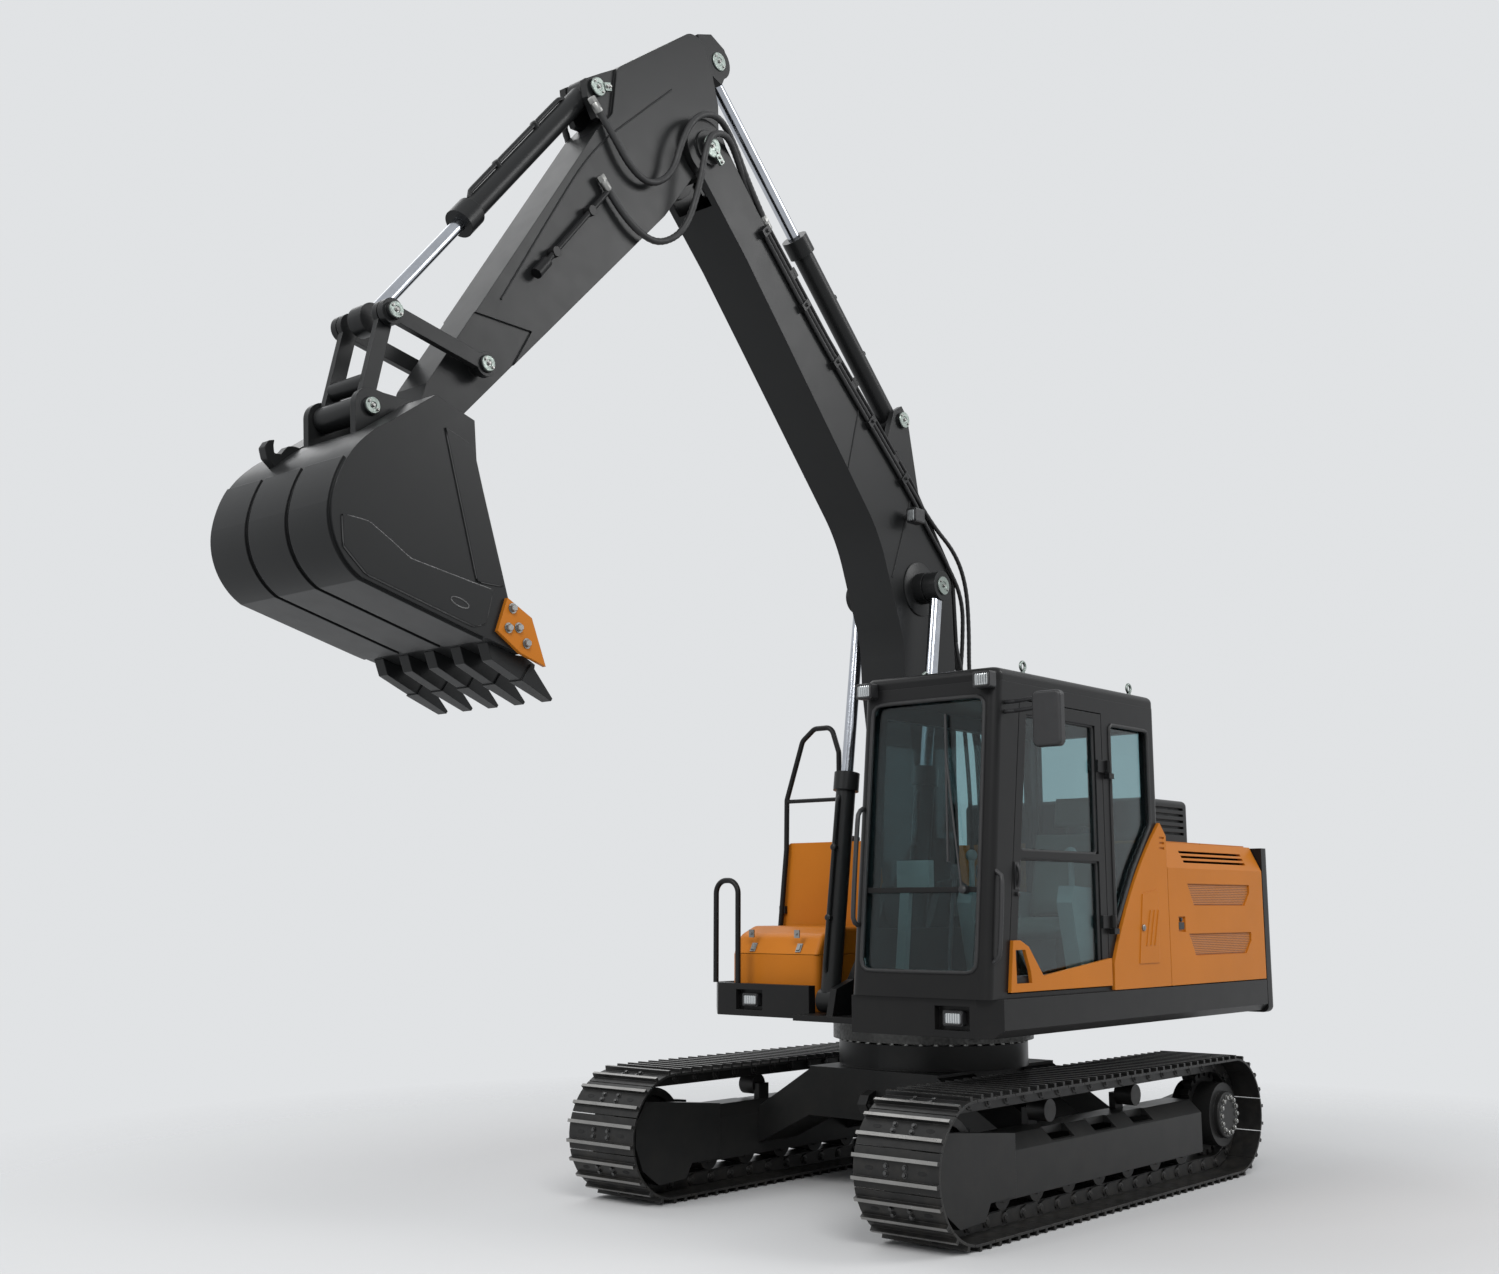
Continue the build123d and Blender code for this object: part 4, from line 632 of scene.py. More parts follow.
def add_track_detail():
    """Shoe bolts, mud holes drawn as dark discs of painted shade, and chain link plates of both tracks."""
    pitch = (4 * TUMBLER_X + 2 * math.pi * PITCH_RADIUS) / SHOE_COUNT
    for side, name in SIDES:
        bolts = Shape()
        holes = Shape()
        links = Shape()
        for n in range(SHOE_COUNT):
            centre, out = track_place(pitch * (n + 0.5), PLATE_RADIUS)
            along = Vector((0, 1, 0)).cross(out)
            middle = centre + across(side * TRACK_Y)
            for ahead, y in SHOE_BOLTS:
                bolts.bolt(middle + along * ahead + across(y), out, 0.011)
            # Each mud hole is a thin dark disc on the shoe: painted shade where the hole would be.
            for y in (SHOE_HOLE_Y, -SHOE_HOLE_Y):
                ring = []
                for a in turns(16):
                    spot = middle + along * SHOE_HOLE[0] * math.cos(a)
                    ring.append(spot + across(y + SHOE_HOLE[1] * math.sin(a)))
                holes.loft([[point + out * rise for point in ring] for rise in (-0.002, 0.0008)])
            pin = track_place(pitch * n, PITCH_RADIUS)[0]
            link = track_place(pitch * (n + 0.5), PITCH_RADIUS)[0]
            for face in (1, -1):
                y = side * TRACK_Y + face * LINK_HALF
                links.spin(LINK_BOSS, pin + across(y), (0, face, 0), 16)
                plate = [link + along * a + out * h + across(y) for a, h in LINK_PLATE]
                links.loft([plate, [point + across(face * LINK_THICKNESS) for point in plate]])
        bolts.piece(f"shoe_bolts_{name}", "bolt_dark", "undercarriage")
        holes.piece(f"shoe_holes_{name}", "hole_shade", "undercarriage")
        links.piece(f"chain_links_{name}", "track_steel", "undercarriage")


def add_ring_bolts():
    """Bolt circles of the slew ring and the final drives."""
    below = Shape()
    above = Shape()
    low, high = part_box("slew_race_lower")
    ring = (high.x - low.x) / 2 + 0.021
    for angle in turns(40):
        spot = Vector((ring * math.cos(angle), ring * math.sin(angle), 0))
        below.bolt(spot + Vector((0, 0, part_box("car_body")[1].z)), (0, 0, 1), 0.014)
        above.bolt(spot * 1.06 + Vector((0, 0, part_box("main_frame")[0].z)), (0, 0, -1), 0.014)
    drive_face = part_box("final_drives")[1].y
    for side in (1, -1):
        for angle in turns(14):
            x = -TUMBLER_X + DRIVE_RING * math.cos(angle)
            z = TRACK_Z + DRIVE_RING * math.sin(angle)
            below.bolt((x, side * drive_face, z), (0, side, 0), 0.013)
    below.piece("undercarriage_bolts", "bolt_steel", "undercarriage")
    above.piece("slew_ring_bolts", "bolt_steel", "upper")


# Working equipment
ARM_FACE = 0.115
BOOM_FACE = 0.160
BUCKET_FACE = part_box("bucket_shell")[1].y
CUTTER_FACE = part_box("side_cutters")[1].y
PIPE_END = Vector((1.728, 0, 5.398))
PIPE_LOW = Vector((-0.11, 0, 3.24))
PIPE_YS = (-0.147, -0.118, 0.118, 0.147)
ARM_PIPE_START = (2.943, 0.147, 5.156)
MANIFOLD = ((-0.43, -0.165, 1.0), (-0.29, 0.165, 1.30))
MANIFOLD_TOP = MANIFOLD[1][2]
PORT_X = MANIFOLD[1][0] - 0.07
PORT_RADIUS = HOSE_RADIUS * 0.72
UPPER_HOSE = [
    (PIPE_END.x, 0.147, PIPE_END.z), (1.87, 0.152, 5.56), (2.03, 0.165, 5.78), (2.18, 0.19, 5.85),
    (2.36, 0.205, 5.77), (2.46, 0.20, 5.60), (2.51, 0.18, 5.39), (2.65, 0.162, 5.28), (2.80, 0.16, 5.32),
    (2.93, 0.15, 5.47), (2.995, 0.13, 5.56),
]
LOWER_HOSE = [
    (PIPE_END.x, 0.118, PIPE_END.z), (1.85, 0.13, 5.52), (2.0, 0.165, 5.70), (2.14, 0.222, 5.74),
    (2.27, 0.235, 5.69), (2.318, 0.235, 5.58), (2.348, 0.22, 5.364), (2.424, 0.195, 5.104),
    (2.574, 0.165, 4.985), (2.721, 0.158, 4.992), (2.866, 0.15, 5.078), ARM_PIPE_START,
]
BOOM_EDGE = (Vector((0.33, 0, 4.11)), Vector((1.2, 0, 4.85)), Vector((1.8, 0, 5.42)))
LINE_RADIUS = 0.0126
LINE_Y = BOOM_FACE + 0.0145
LINE_STATIONS = ((1, 0.885), (1, 0.4), (0, 1.0), (0, 0.5), (0, 0.05))
LINE_LOOPS = {
    0.030: [
        (0.16, LINE_Y, 3.93), (-0.08, LINE_Y, 3.80), (-0.22, 0.16, 3.62), (-0.29, 0.13, 3.36),
        (-0.33, 0.095, 3.05), (-0.40, 0.089, 2.62), (-0.43, 0.089, 2.2), (-0.43, 0.089, 1.7),
        (-0.40, 0.089, 1.35),
    ],
    0.062: [
        (0.20, LINE_Y, 3.88), (0.02, LINE_Y, 3.72), (-0.17, 0.165, 3.52), (-0.23, 0.12, 3.26),
        (-0.26, 0.07, 3.0), (-0.33, 0.06, 2.62), (-0.37, 0.06, 2.2), (-0.37, 0.06, 1.7), (-0.36, 0.06, 1.35),
    ],
}
CLAMP_STATIONS = ((0, 0.12), (0, 0.5), (0, 0.88), (1, 0.3), (1, 0.88))
CLAMP_HALF = 0.022
CLAMP_FACE = LINE_Y + 0.019
PIPE_RADIUS = 0.013
PIPE_STANDOFF = 0.022
SEAM_RADIUS = 0.005
BOOM_SEAMS = ((0, 0.62, -0.004), (0, 0.02, -0.003))
DOUBLER = ((0.165, -0.002), (0.165, 0.006), (0.16, 0.009), (0.04, 0.009))
ARM_SEAM = [(2.459, 5.903), (2.75, 5.63), (3.036, 5.352), (3.32, 4.88), (3.597, 4.403)]
STRIKE_PLATE = [(3.812, 2.97), (4.001, 3.548), (4.150, 3.598), (3.956, 2.97)]
LOWER_PLATE = [
    (4.645, 3.135), (4.52, 3.128), (4.42, 3.075), (4.307, 3.010), (3.993, 2.962), (3.87, 2.945),
    (3.905, 2.795), (3.965, 2.776), (4.520, 2.915), (4.632, 3.010),
]
OVAL = (4.05, 2.865)
OVAL_HALF = (0.05, 0.017)
OVAL_TILT = 0.25
BUCKET_PLATE = 0.008
HOOK_FOOT = Vector((4.515, 3.502))
HOOK_LEAN = -0.75
HOOK_YS = (-0.205, -0.16)
HOOK = (
    (-0.085, -0.012), (0.08, -0.012), (0.09, 0.05), (0.07, 0.092), (0.035, 0.103), (0.008, 0.09),
    (0.028, 0.074), (0.046, 0.046), (0.022, 0.026), (-0.03, 0.034), (-0.055, 0.02),
)
CUTTER_BOLTS = ((3.772, 2.878), (3.735, 2.798), (3.792, 2.790), (3.688, 2.735))


def add_hoses():
    """Hoses over the boom's two joints, with their fittings."""
    for name, route, sides in (("upper", UPPER_HOSE, SIDES), ("lower", LOWER_HOSE, SIDES[:1])):
        for side, hand in sides:
            hose = Shape()
            points = route if side > 0 else mirrored(route)
            hose.tube(points, HOSE_RADIUS, 12, 0.012, ribs=0.09)
            obj = hose.piece(f"arm_hose_{name}_{hand}", "hose_rubber")
            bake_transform(obj)
            nuts = Shape()
            nuts.fitting(Vector(points[0]) - Vector((0.04, 0, 0.04)), (0.725, 0, 0.689))
            nuts.piece(f"boom_fitting_{name}_{hand}", "bolt_steel", "boom")
            end = Shape()
            end.fitting(points[-1], Vector(points[-1]) - Vector(points[-2]))
            end.piece(f"arm_fitting_{name}_{hand}", "bolt_steel", "arm")
    block = Shape()
    block.box(*MANIFOLD)
    for y in PIPE_YS:
        hose = Shape()
        tag = f"{round(y * 1000)}".replace("-", "m")
        low = Vector((PORT_X, y, MANIFOLD_TOP + 0.05))
        hose.tube(
            [low, low + Vector((-0.01, 0, 0.35)), (-0.39, y, 2.2), (-0.36, y, 2.62), (-0.25, y, 2.93),
             (-0.14, y, 3.1), (PIPE_LOW.x, y, PIPE_LOW.z)],
            HOSE_RADIUS * 0.74, 12, 0.012, ribs=0.08,
        )
        obj = hose.piece(f"boom_hose_{tag}", "hose_rubber")
        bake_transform(obj)
        block.fitting((PORT_X, y, MANIFOLD_TOP), (0, 0, 1), PORT_RADIUS)
    for loop in LINE_LOOPS.values():
        x, y, _ = loop[-1]
        for side in (1, -1):
            block.fitting((x, side * y, MANIFOLD_TOP), (0, 0, 1), PORT_RADIUS)
    block.piece("hose_manifold", "machined_steel", "upper")


def boom_lane(run, share, inset, y):
    """Point on the boom's side, an inset below its upper edge."""
    start, end = BOOM_EDGE[run:run + 2]
    along = (end - start).normalized()
    return start.lerp(end, share) + Vector((along.z * inset, y, -along.x * inset))


def add_boom_lines():
    """Hoses in clamps along the boom's sides, with free loops down to the manifold."""
    clamps = Shape()
    for side, tag in SIDES:
        for inset, loop in LINE_LOOPS.items():
            route = [boom_lane(*station, inset, LINE_Y) for station in LINE_STATIONS] + loop
            hose = Shape()
            hose.tube(route if side > 0 else mirrored(route), LINE_RADIUS, 12, 0.012, ribs=0.08)
            obj = hose.piece(f"boom_line_{tag}_{round(inset * 1000)}", "hose_rubber")
            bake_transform(obj)
        for run, share in CLAMP_STATIONS:
            along = (BOOM_EDGE[run + 1] - BOOM_EDGE[run]).normalized() * CLAMP_HALF
            outline = []
            for inset, step in ((0.008, -1), (0.008, 1), (0.086, 1), (0.086, -1)):
                spot = boom_lane(run, share, inset, 0) + along * step
                outline.append((spot.x, spot.z))
            clamps.prism(outline, *span(side, BOOM_FACE - 0.001, CLAMP_FACE))
            clamps.bolt(boom_lane(run, share, 0.046, side * CLAMP_FACE), (0, side, 0), 0.01)
    clamps.piece("boom_line_clamps", "charcoal_paint", "boom")


def cylinder_pipe(shape, foot, eye, y, start, end, offset, flip):
    """Steel line beside a cylinder tube, with two clamps."""
    axis = (eye - foot).normalized()
    out = Vector((-axis.z, 0, axis.x)) * flip
    base = foot + across(y)
    wall = out * (offset - PIPE_STANDOFF)
    near = base + axis * start + wall
    far = base + axis * end + wall
    lift = out * PIPE_STANDOFF
    shape.tube(
        [near, near + lift * 0.9 + axis * 0.015, near + lift + axis * 0.07, far + lift - axis * 0.07,
         far + lift * 0.9 - axis * 0.015, far],
        PIPE_RADIUS, 10, 0.02,
    )
    for share in (0.3, 0.7):
        shape.spin([(0.02, 0), (0.02, 0.034), (0.012, 0.038)], near.lerp(far, share), out, 12)


def add_cylinder_lines():
    """Steel oil lines along the cylinder tubes."""
    for body, foot, eye, ys, reach, offset, flip in (
        ("boom_barrels", BOOM_CYLINDER_FOOT, BOOM_CYLINDER_EYE, (-0.285, 0.285), (0.16, 1.2), 0.074, -1),
        ("arm_barrel", ARM_CYLINDER_FOOT, ARM_CYLINDER_EYE, (0.0,), (0.16, 1.15), 0.075, 1),
        ("bucket_barrel", BUCKET_CYLINDER_FOOT, LINK_TOP, (0.0,), (0.15, 1.08), 0.07, 1),
    ):
        lines = Shape()
        for y in ys:
            cylinder_pipe(lines, foot, eye, y, *reach, offset, flip)
        lines.piece(f"oil_line_{body}", "charcoal_paint", body)


def add_boom_seams():
    """Butt welds across the boom's side plates and doubler rings around the cylinder bosses."""
    seams = Shape()
    boom = NODES["boom"]
    for side in (1, -1):
        for run, share, slant in BOOM_SEAMS:
            route = []
            for n in range(1, 60):
                spot = boom_lane(run, share + slant * n, 0.01 * n, side)
                hit, place, _, _ = boom.ray_cast(spot, across(-side))
                if not hit or abs(abs(place.y) - BOOM_FACE) > 0.002:
                    break
                route.append(place)
            seams.tube(route[::4] + route[-1:], SEAM_RADIUS, 8, 0.02, ribs=0.15)
        seams.spin(DOUBLER, (BOOM_CYLINDER_EYE.x, side * BOOM_FACE, BOOM_CYLINDER_EYE.z), (0, side, 0), 48)
    seams.piece("boom_seams", "charcoal_paint", "boom")


def add_plates():
    """Weld seams of the arm, side plates and lifting hook of the bucket, bolts of the side cutters."""
    seams = Shape()
    plates = Shape()
    welds = Shape()
    bolts = Shape()
    tilt = Matrix.Rotation(OVAL_TILT, 2)
    for side in (1, -1):
        seams.tube([(x, side * ARM_FACE, z) for x, z in ARM_SEAM], SEAM_RADIUS, 8, 0.02, ribs=0.15)
        for outline in (STRIKE_PLATE, LOWER_PLATE):
            plates.prism(outline, *span(side, BUCKET_FACE - 0.001, BUCKET_FACE + BUCKET_PLATE))
            edge = [(x, side * (BUCKET_FACE + 0.002), z) for x, z in rounded(outline, 0.012)]
            welds.tube(edge, SEAM_RADIUS, 6, 0.03, closed=True)
        oval = []
        for a in turns(24):
            spot = tilt @ Vector((OVAL_HALF[0] * math.cos(a), OVAL_HALF[1] * math.sin(a)))
            oval.append((OVAL[0] + spot.x, side * (BUCKET_FACE + BUCKET_PLATE), OVAL[1] + spot.y))
        welds.tube(oval, 0.0035, 6, 0.01, closed=True)
        for x, z in CUTTER_BOLTS:
            bolts.bolt((x, side * CUTTER_FACE, z), (0, side, 0), 0.017)
    lean = Matrix.Rotation(HOOK_LEAN, 2)
    plates.prism(rounded([HOOK_FOOT + lean @ Vector(point) for point in HOOK], 0.006), *HOOK_YS)
    seams.piece("arm_seams", "charcoal_paint", "arm")
    plates.piece("bucket_plates", "charcoal_paint", "bucket")
    welds.piece("bucket_welds", "bolt_dark", "bucket")
    bolts.piece("cutter_bolts", "bolt_steel", "bucket")


# Cab
CAB_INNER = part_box("cab_roof")[0].y
CAB_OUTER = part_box("cab_roof")[1].y
CAB_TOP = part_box("cab_roof")[0].z
CAB_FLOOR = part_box("cab_frame")[0].z
CAB_FRONT_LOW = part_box("cab_frame")[1].x
CAB_FRONT_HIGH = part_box("cab_roof")[1].x
PANE_SIDE = 0.07
SCREEN_BOTTOM = CAB_FLOOR + 0.13
SCREEN_SPLIT = CAB_FLOOR + 0.53
SCREEN_TOP = CAB_TOP - 0.08
SCREEN_CORNER = 0.06
PANE_CORNER = 0.03
SEAL_RADIUS = 0.011
DOOR_REAR = 0.07
DOOR_BORDER = 0.07
DOOR_BOTTOM = CAB_FLOOR + 0.031
DOOR_TOP = CAB_TOP - 0.09
DOOR_RAIL = CAB_FLOOR + 0.726
DOOR_FRONT = (1.12, 0.93)
QUARTER_PANE = [(-0.02, 1.50), (-0.02, 2.64), (-0.48, 2.64), (-0.48, 2.09), (-0.25, 1.83)]
FRONT_GRAB = ((0.0, 0.0), (0.02, 0.04), (0.1, 0.05), (0.9, 0.05), (0.98, 0.04), (1.0, 0.0))
SIDE_GRAB = ((0.0, 0.0), (0.03, 0.035), (0.12, 0.045), (0.88, 0.045), (0.97, 0.035), (1.0, 0.0))
MIRROR = Vector((1.125, 1.505, 2.556))
MIRROR_HALF = (0.0225, 0.0825, 0.1425)
MIRROR_RIM = 0.012
LEVER_YS = (0.70, 0.86)
LENS_RISE = 0.005
LENS_RIM = 0.008


def cab_front(z):
    """Front face of the cab at a height."""
    return CAB_FRONT_LOW + (CAB_FRONT_HIGH - CAB_FRONT_LOW) * (z - CAB_FLOOR) / (CAB_TOP - CAB_FLOOR)


def door_front(z):
    """Front edge of the door at a height."""
    return DOOR_FRONT[0] + (DOOR_FRONT[1] - DOOR_FRONT[0]) * (z - DOOR_BOTTOM) / (DOOR_TOP - DOOR_BOTTOM)


def add_seals():
    """Rubber seals around the fixed panes and the door's panes."""
    seals = Shape()
    screen = rectangle((CAB_INNER + PANE_SIDE, SCREEN_BOTTOM), (CAB_OUTER - PANE_SIDE, SCREEN_TOP))
    screen_ring = [(cab_front(z), y, z) for y, z in rounded(screen, SCREEN_CORNER)]
    quarter_ring = [(x, CAB_OUTER, z) for x, z in rounded(QUARTER_PANE, PANE_CORNER)]
    for ring in (screen_ring, quarter_ring):
        seals.tube(ring, SEAL_RADIUS, 10, 0.03, closed=True)
    seals.piece("cab_seals", "hose_rubber", "upper")
    door = Shape()
    rear = DOOR_REAR + DOOR_BORDER
    lower = (DOOR_BOTTOM + DOOR_BORDER, DOOR_RAIL - 0.02)
    upper = (DOOR_RAIL + 0.02, DOOR_TOP - DOOR_BORDER)
    for low, high in (lower, upper):
        front = [(door_front(z) - DOOR_BORDER, z) for z in (low, high)]
        pane = rounded([(rear, low), *front, (rear, high)], PANE_CORNER)
        door.tube([(x, CAB_OUTER - 0.02, z) for x, z in pane], SEAL_RADIUS, 10, 0.03, closed=True)
    door.piece("door_seals", "hose_rubber", "cab_door")


def add_cab_fittings():
    """Wiper, grab bars, door handle, mirror glass, travel levers and pedals."""
    black = Shape()
    wiper_foot = Vector((cab_front(SCREEN_SPLIT + 0.01) + 0.006, CAB_OUTER - 0.16, SCREEN_SPLIT + 0.014))
    wiper_top = Vector((cab_front(SCREEN_TOP - 0.3) - 0.002, CAB_OUTER - 0.30, SCREEN_TOP - 0.3))
    black.spin([(0.022, -0.03), (0.022, 0.012), (0.012, 0.02)], wiper_foot, (1, 0, 0.1), 16)
    wiper_bend = wiper_foot.lerp(wiper_top, 0.5) + Vector((0.012, 0, 0))
    black.tube([wiper_foot + Vector((0.014, 0, 0)), wiper_bend, wiper_top], 0.006)
    blade_low = wiper_foot + Vector((-0.004, -0.09, 0.14))
    blade_high = Vector((cab_front(SCREEN_TOP - 0.08) - 0.012, CAB_OUTER - 0.32, SCREEN_TOP - 0.08))
    black.tube([blade_low, blade_low.lerp(blade_high, 0.5), blade_high], 0.008, 8)
    grab = []
    for share, out in FRONT_GRAB:
        z = 1.52 + 0.62 * share
        grab.append((cab_front(z) + out, CAB_INNER + 0.035, z))
    black.tube(grab, 0.013, 12)
    side_bar = []
    for share, out in SIDE_GRAB:
        z = 1.34 + 0.46 * share
        side_bar.append((cab_front(z) - 0.05, CAB_OUTER - 0.01 + out, z))
    black.tube(side_bar, 0.012, 12)
    black.piece("cab_fittings", "black_plastic", "upper")

    handle = Shape()
    z = DOOR_RAIL - 0.11
    x = door_front(z) - 0.036
    handle.box((x - 0.022, CAB_OUTER - 0.001, z - 0.07), (x + 0.022, CAB_OUTER + 0.006, z + 0.07))
    grip = [(x, CAB_OUTER + 0.004, z - 0.055), (x, CAB_OUTER + 0.018, z - 0.04)]
    grip += [(x, y, 2 * z - low) for _, y, low in reversed(grip)]
    handle.tube(grip, 0.009, 12, 0.01)
    lock = [(0.012, 0), (0.012, 0.008), (0.008, 0.01)]
    handle.spin(lock, (x, CAB_OUTER + 0.005, z - 0.095), (0, 1, 0), 20)
    handle.piece("door_handle", "black_plastic", "cab_door")

    mirror = Shape()
    low, high = (
        [MIRROR[axis] - sign * MIRROR_HALF[axis] + sign * MIRROR_RIM for axis in (1, 2)] for sign in (1, -1)
    )
    outline = rounded(rectangle(low, high), 0.025)
    back = MIRROR.x - MIRROR_HALF[0]
    mirror.loft([[Vector((x, y, z)) for y, z in outline] for x in (back + 0.001, back - 0.003)])
    mirror.piece("mirror_glass", "rod_chrome", "upper")

    inside = Shape()
    knob = [(0.022, -0.03), (0.026, 0), (0.022, 0.035), (0.01, 0.045)]
    for y in LEVER_YS:
        stem = [(0.86, y, CAB_FLOOR + 0.06), (0.84, y, CAB_FLOOR + 0.3), (0.78, y, CAB_FLOOR + 0.62)]
        inside.tube(stem, 0.012)
        inside.spin(knob, (0.78, y, CAB_FLOOR + 0.64), (0, 0, 1), 16)
        inside.box((0.86, y - 0.05, CAB_FLOOR + 0.085), (1.03, y + 0.05, CAB_FLOOR + 0.10))
    inside.piece("travel_levers", "black_plastic", "upper")


def add_lamp_lenses():
    """Ribbed lenses in bezels on the lamps' front faces."""
    for body, node in (("upper", "work_lamps"), ("boom", "boom_lamp")):
        lenses = Shape()
        bezels = Shape()
        for low, high in islands(node):
            if body == "boom":
                low.y = high.y - 0.07
            corners = ((low.y + LENS_RIM, low.z + LENS_RIM), (high.y - LENS_RIM, high.z - LENS_RIM))
            border = rounded(rectangle(*corners), 0.012)
            bezels.tube([(high.x + 0.001, y, z) for y, z in border], 0.006, 8, 0.01, closed=True)
            middle = (Vector(corners[0]) + Vector(corners[1])) / 2
            rings = []
            for share, rise in ((1.0, 0.0), (0.9, 0.6), (0.6, 0.9), (0.25, 1.0)):
                x = high.x + LENS_RISE * rise
                rings.append([Vector((x, *(middle + (point - middle) * share))) for point in border])
            lenses.loft(rings)
        lenses.piece(f"lamp_lenses_{body}", "lamp_lens", body, 1.2)
        bezels.piece(f"lamp_bezels_{body}", "black_plastic", body)


# Seat
SEAT_LOW, SEAT_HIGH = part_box("operator_seat")
SEAT_MIDDLE = (SEAT_LOW.y + SEAT_HIGH.y) / 2
SEAT_WIDTH = SEAT_HIGH.y - SEAT_LOW.y
CUSHION_BOTTOM = CAB_FLOOR + 0.271
CUSHION_TOP = CUSHION_BOTTOM + 0.13
CUSHION_REAR = SEAT_HIGH.x - 0.54
CROWN = 0.12
PULL = 0.03
BACK_HEIGHT = 0.49
BACK_LEAN = 0.10
BACK_THICKNESS = 0.12
HEAD_HEIGHT = 0.18
BASE_INSET = 0.08
BASE_FOLDS = 7


def cushion(name, centre, size, lean):
    """Stuffed pad: crowned faces, soft rim and sides that pull in between the corners."""
    mesh = bmesh.new()
    bmesh.ops.create_cube(mesh, size=2)
    bmesh.ops.subdivide_edges(mesh, edges=mesh.edges, cuts=13, use_grid_fill=True)
    turn = Matrix.Rotation(lean, 4, "Y")
    for vertex in mesh.verts:
        u, v, w = vertex.co
        rim = (abs(u) ** 6 + abs(v) ** 6) ** (1 / 6) if abs(u) + abs(v) else 0.0
        round_off = 1 - 0.06 * abs(w) ** 3
        bulge = 1 + CROWN * (1 - u * u) * (1 - v * v) * (1 if w > 0 else 0.25)
        channel = 0.06 * max(0.0, 1 - abs(abs(v) - 0.55) / 0.05) * (w > 0.9) * (abs(u) < 0.9)
        x = u * (1 - PULL * (1 - v * v)) * round_off
        y = v * (1 - PULL * (1 - u * u)) * round_off
        z = w * bulge * (1 - 0.35 * max(0.0, rim - 0.8) ** 1.5 / 0.09) - channel
        local = Vector((x * size[0] / 2, y * size[1] / 2, z * size[2] / 2))
        vertex.co = turn @ local + Vector(centre)
    for face in mesh.faces:
        face.smooth = True
    obj = finish_piece(mesh, name, "seat_fabric", "upper")
    return obj


def add_seat():
    """Cushions on a suspension base, in place of the plain seat solid."""
    pad_place = ((CUSHION_REAR + SEAT_HIGH.x) / 2, SEAT_MIDDLE, (CUSHION_BOTTOM + CUSHION_TOP) / 2)
    pad = cushion("seat_cushion", pad_place, (SEAT_HIGH.x - CUSHION_REAR, SEAT_WIDTH, 0.115), 0.0)
    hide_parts("operator_seat")
    back_angle = math.pi / 2 - math.atan(BACK_LEAN / BACK_HEIGHT)
    back_x = CUSHION_REAR + BACK_THICKNESS / 2 - BACK_LEAN / 2
    back_place = (back_x, SEAT_MIDDLE, CUSHION_TOP + BACK_HEIGHT / 2)
    cushion("seat_back", back_place, (BACK_HEIGHT, SEAT_WIDTH - 0.04, 0.105), back_angle)
    head_x = CUSHION_REAR - BACK_LEAN * 0.9
    head_z = CUSHION_TOP + BACK_HEIGHT + 0.03 + HEAD_HEIGHT / 2
    cushion("seat_head", (head_x, SEAT_MIDDLE, head_z), (HEAD_HEIGHT, SEAT_WIDTH - 0.24, 0.06), back_angle)
    base = Shape()
    base_low = Vector((CUSHION_REAR + BASE_INSET, SEAT_LOW.y + BASE_INSET, SEAT_LOW.z))
    base_high = Vector((SEAT_HIGH.x - BASE_INSET, SEAT_HIGH.y - BASE_INSET, CUSHION_BOTTOM + 0.01))
    for n in range(BASE_FOLDS):
        low, high = (base_low.z + (base_high.z - base_low.z) * k / BASE_FOLDS for k in (n, n + 1))
        tuck = 0.012 * (n % 2)
        base.box((base_low.x + tuck, base_low.y + tuck, low), (base_high.x - tuck, base_high.y - tuck, high))
    for side in (1, -1):
        base.tube([(head_x, SEAT_MIDDLE + side * 0.05, head_z - drop) for drop in (0.16, 0.08, 0)], 0.007)
    base.piece("seat_base", "hose_rubber", "upper")


# Engine bay
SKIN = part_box("engine_door_left")[1].y
BAY_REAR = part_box("engine_door_left")[0].x
BAY_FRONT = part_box("engine_door_left")[1].x
PUMP_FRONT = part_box("pump_door_right")[1].x
MESH_FACE = SKIN - 0.03
MESH_SPANS = ((1.32, 1.47), (1.615, 1.765))
MESH_MARGIN = 0.11
POCKET_FACE = SKIN - 0.012
GRILLE_LOWS = (1.33, 1.625)
GRILLE_HEIGHT = 0.13
GRILLE_BEVEL = 0.08
GRILLE_RIM = 0.006
GRILLE_MARGINS = {"engine_door_left": (0.2, 0.25), "pump_door_right": (0.095, 0.095)}
LATCH_X = 0.16
LATCH_Z = 1.516
LATCH_HALF = 0.034


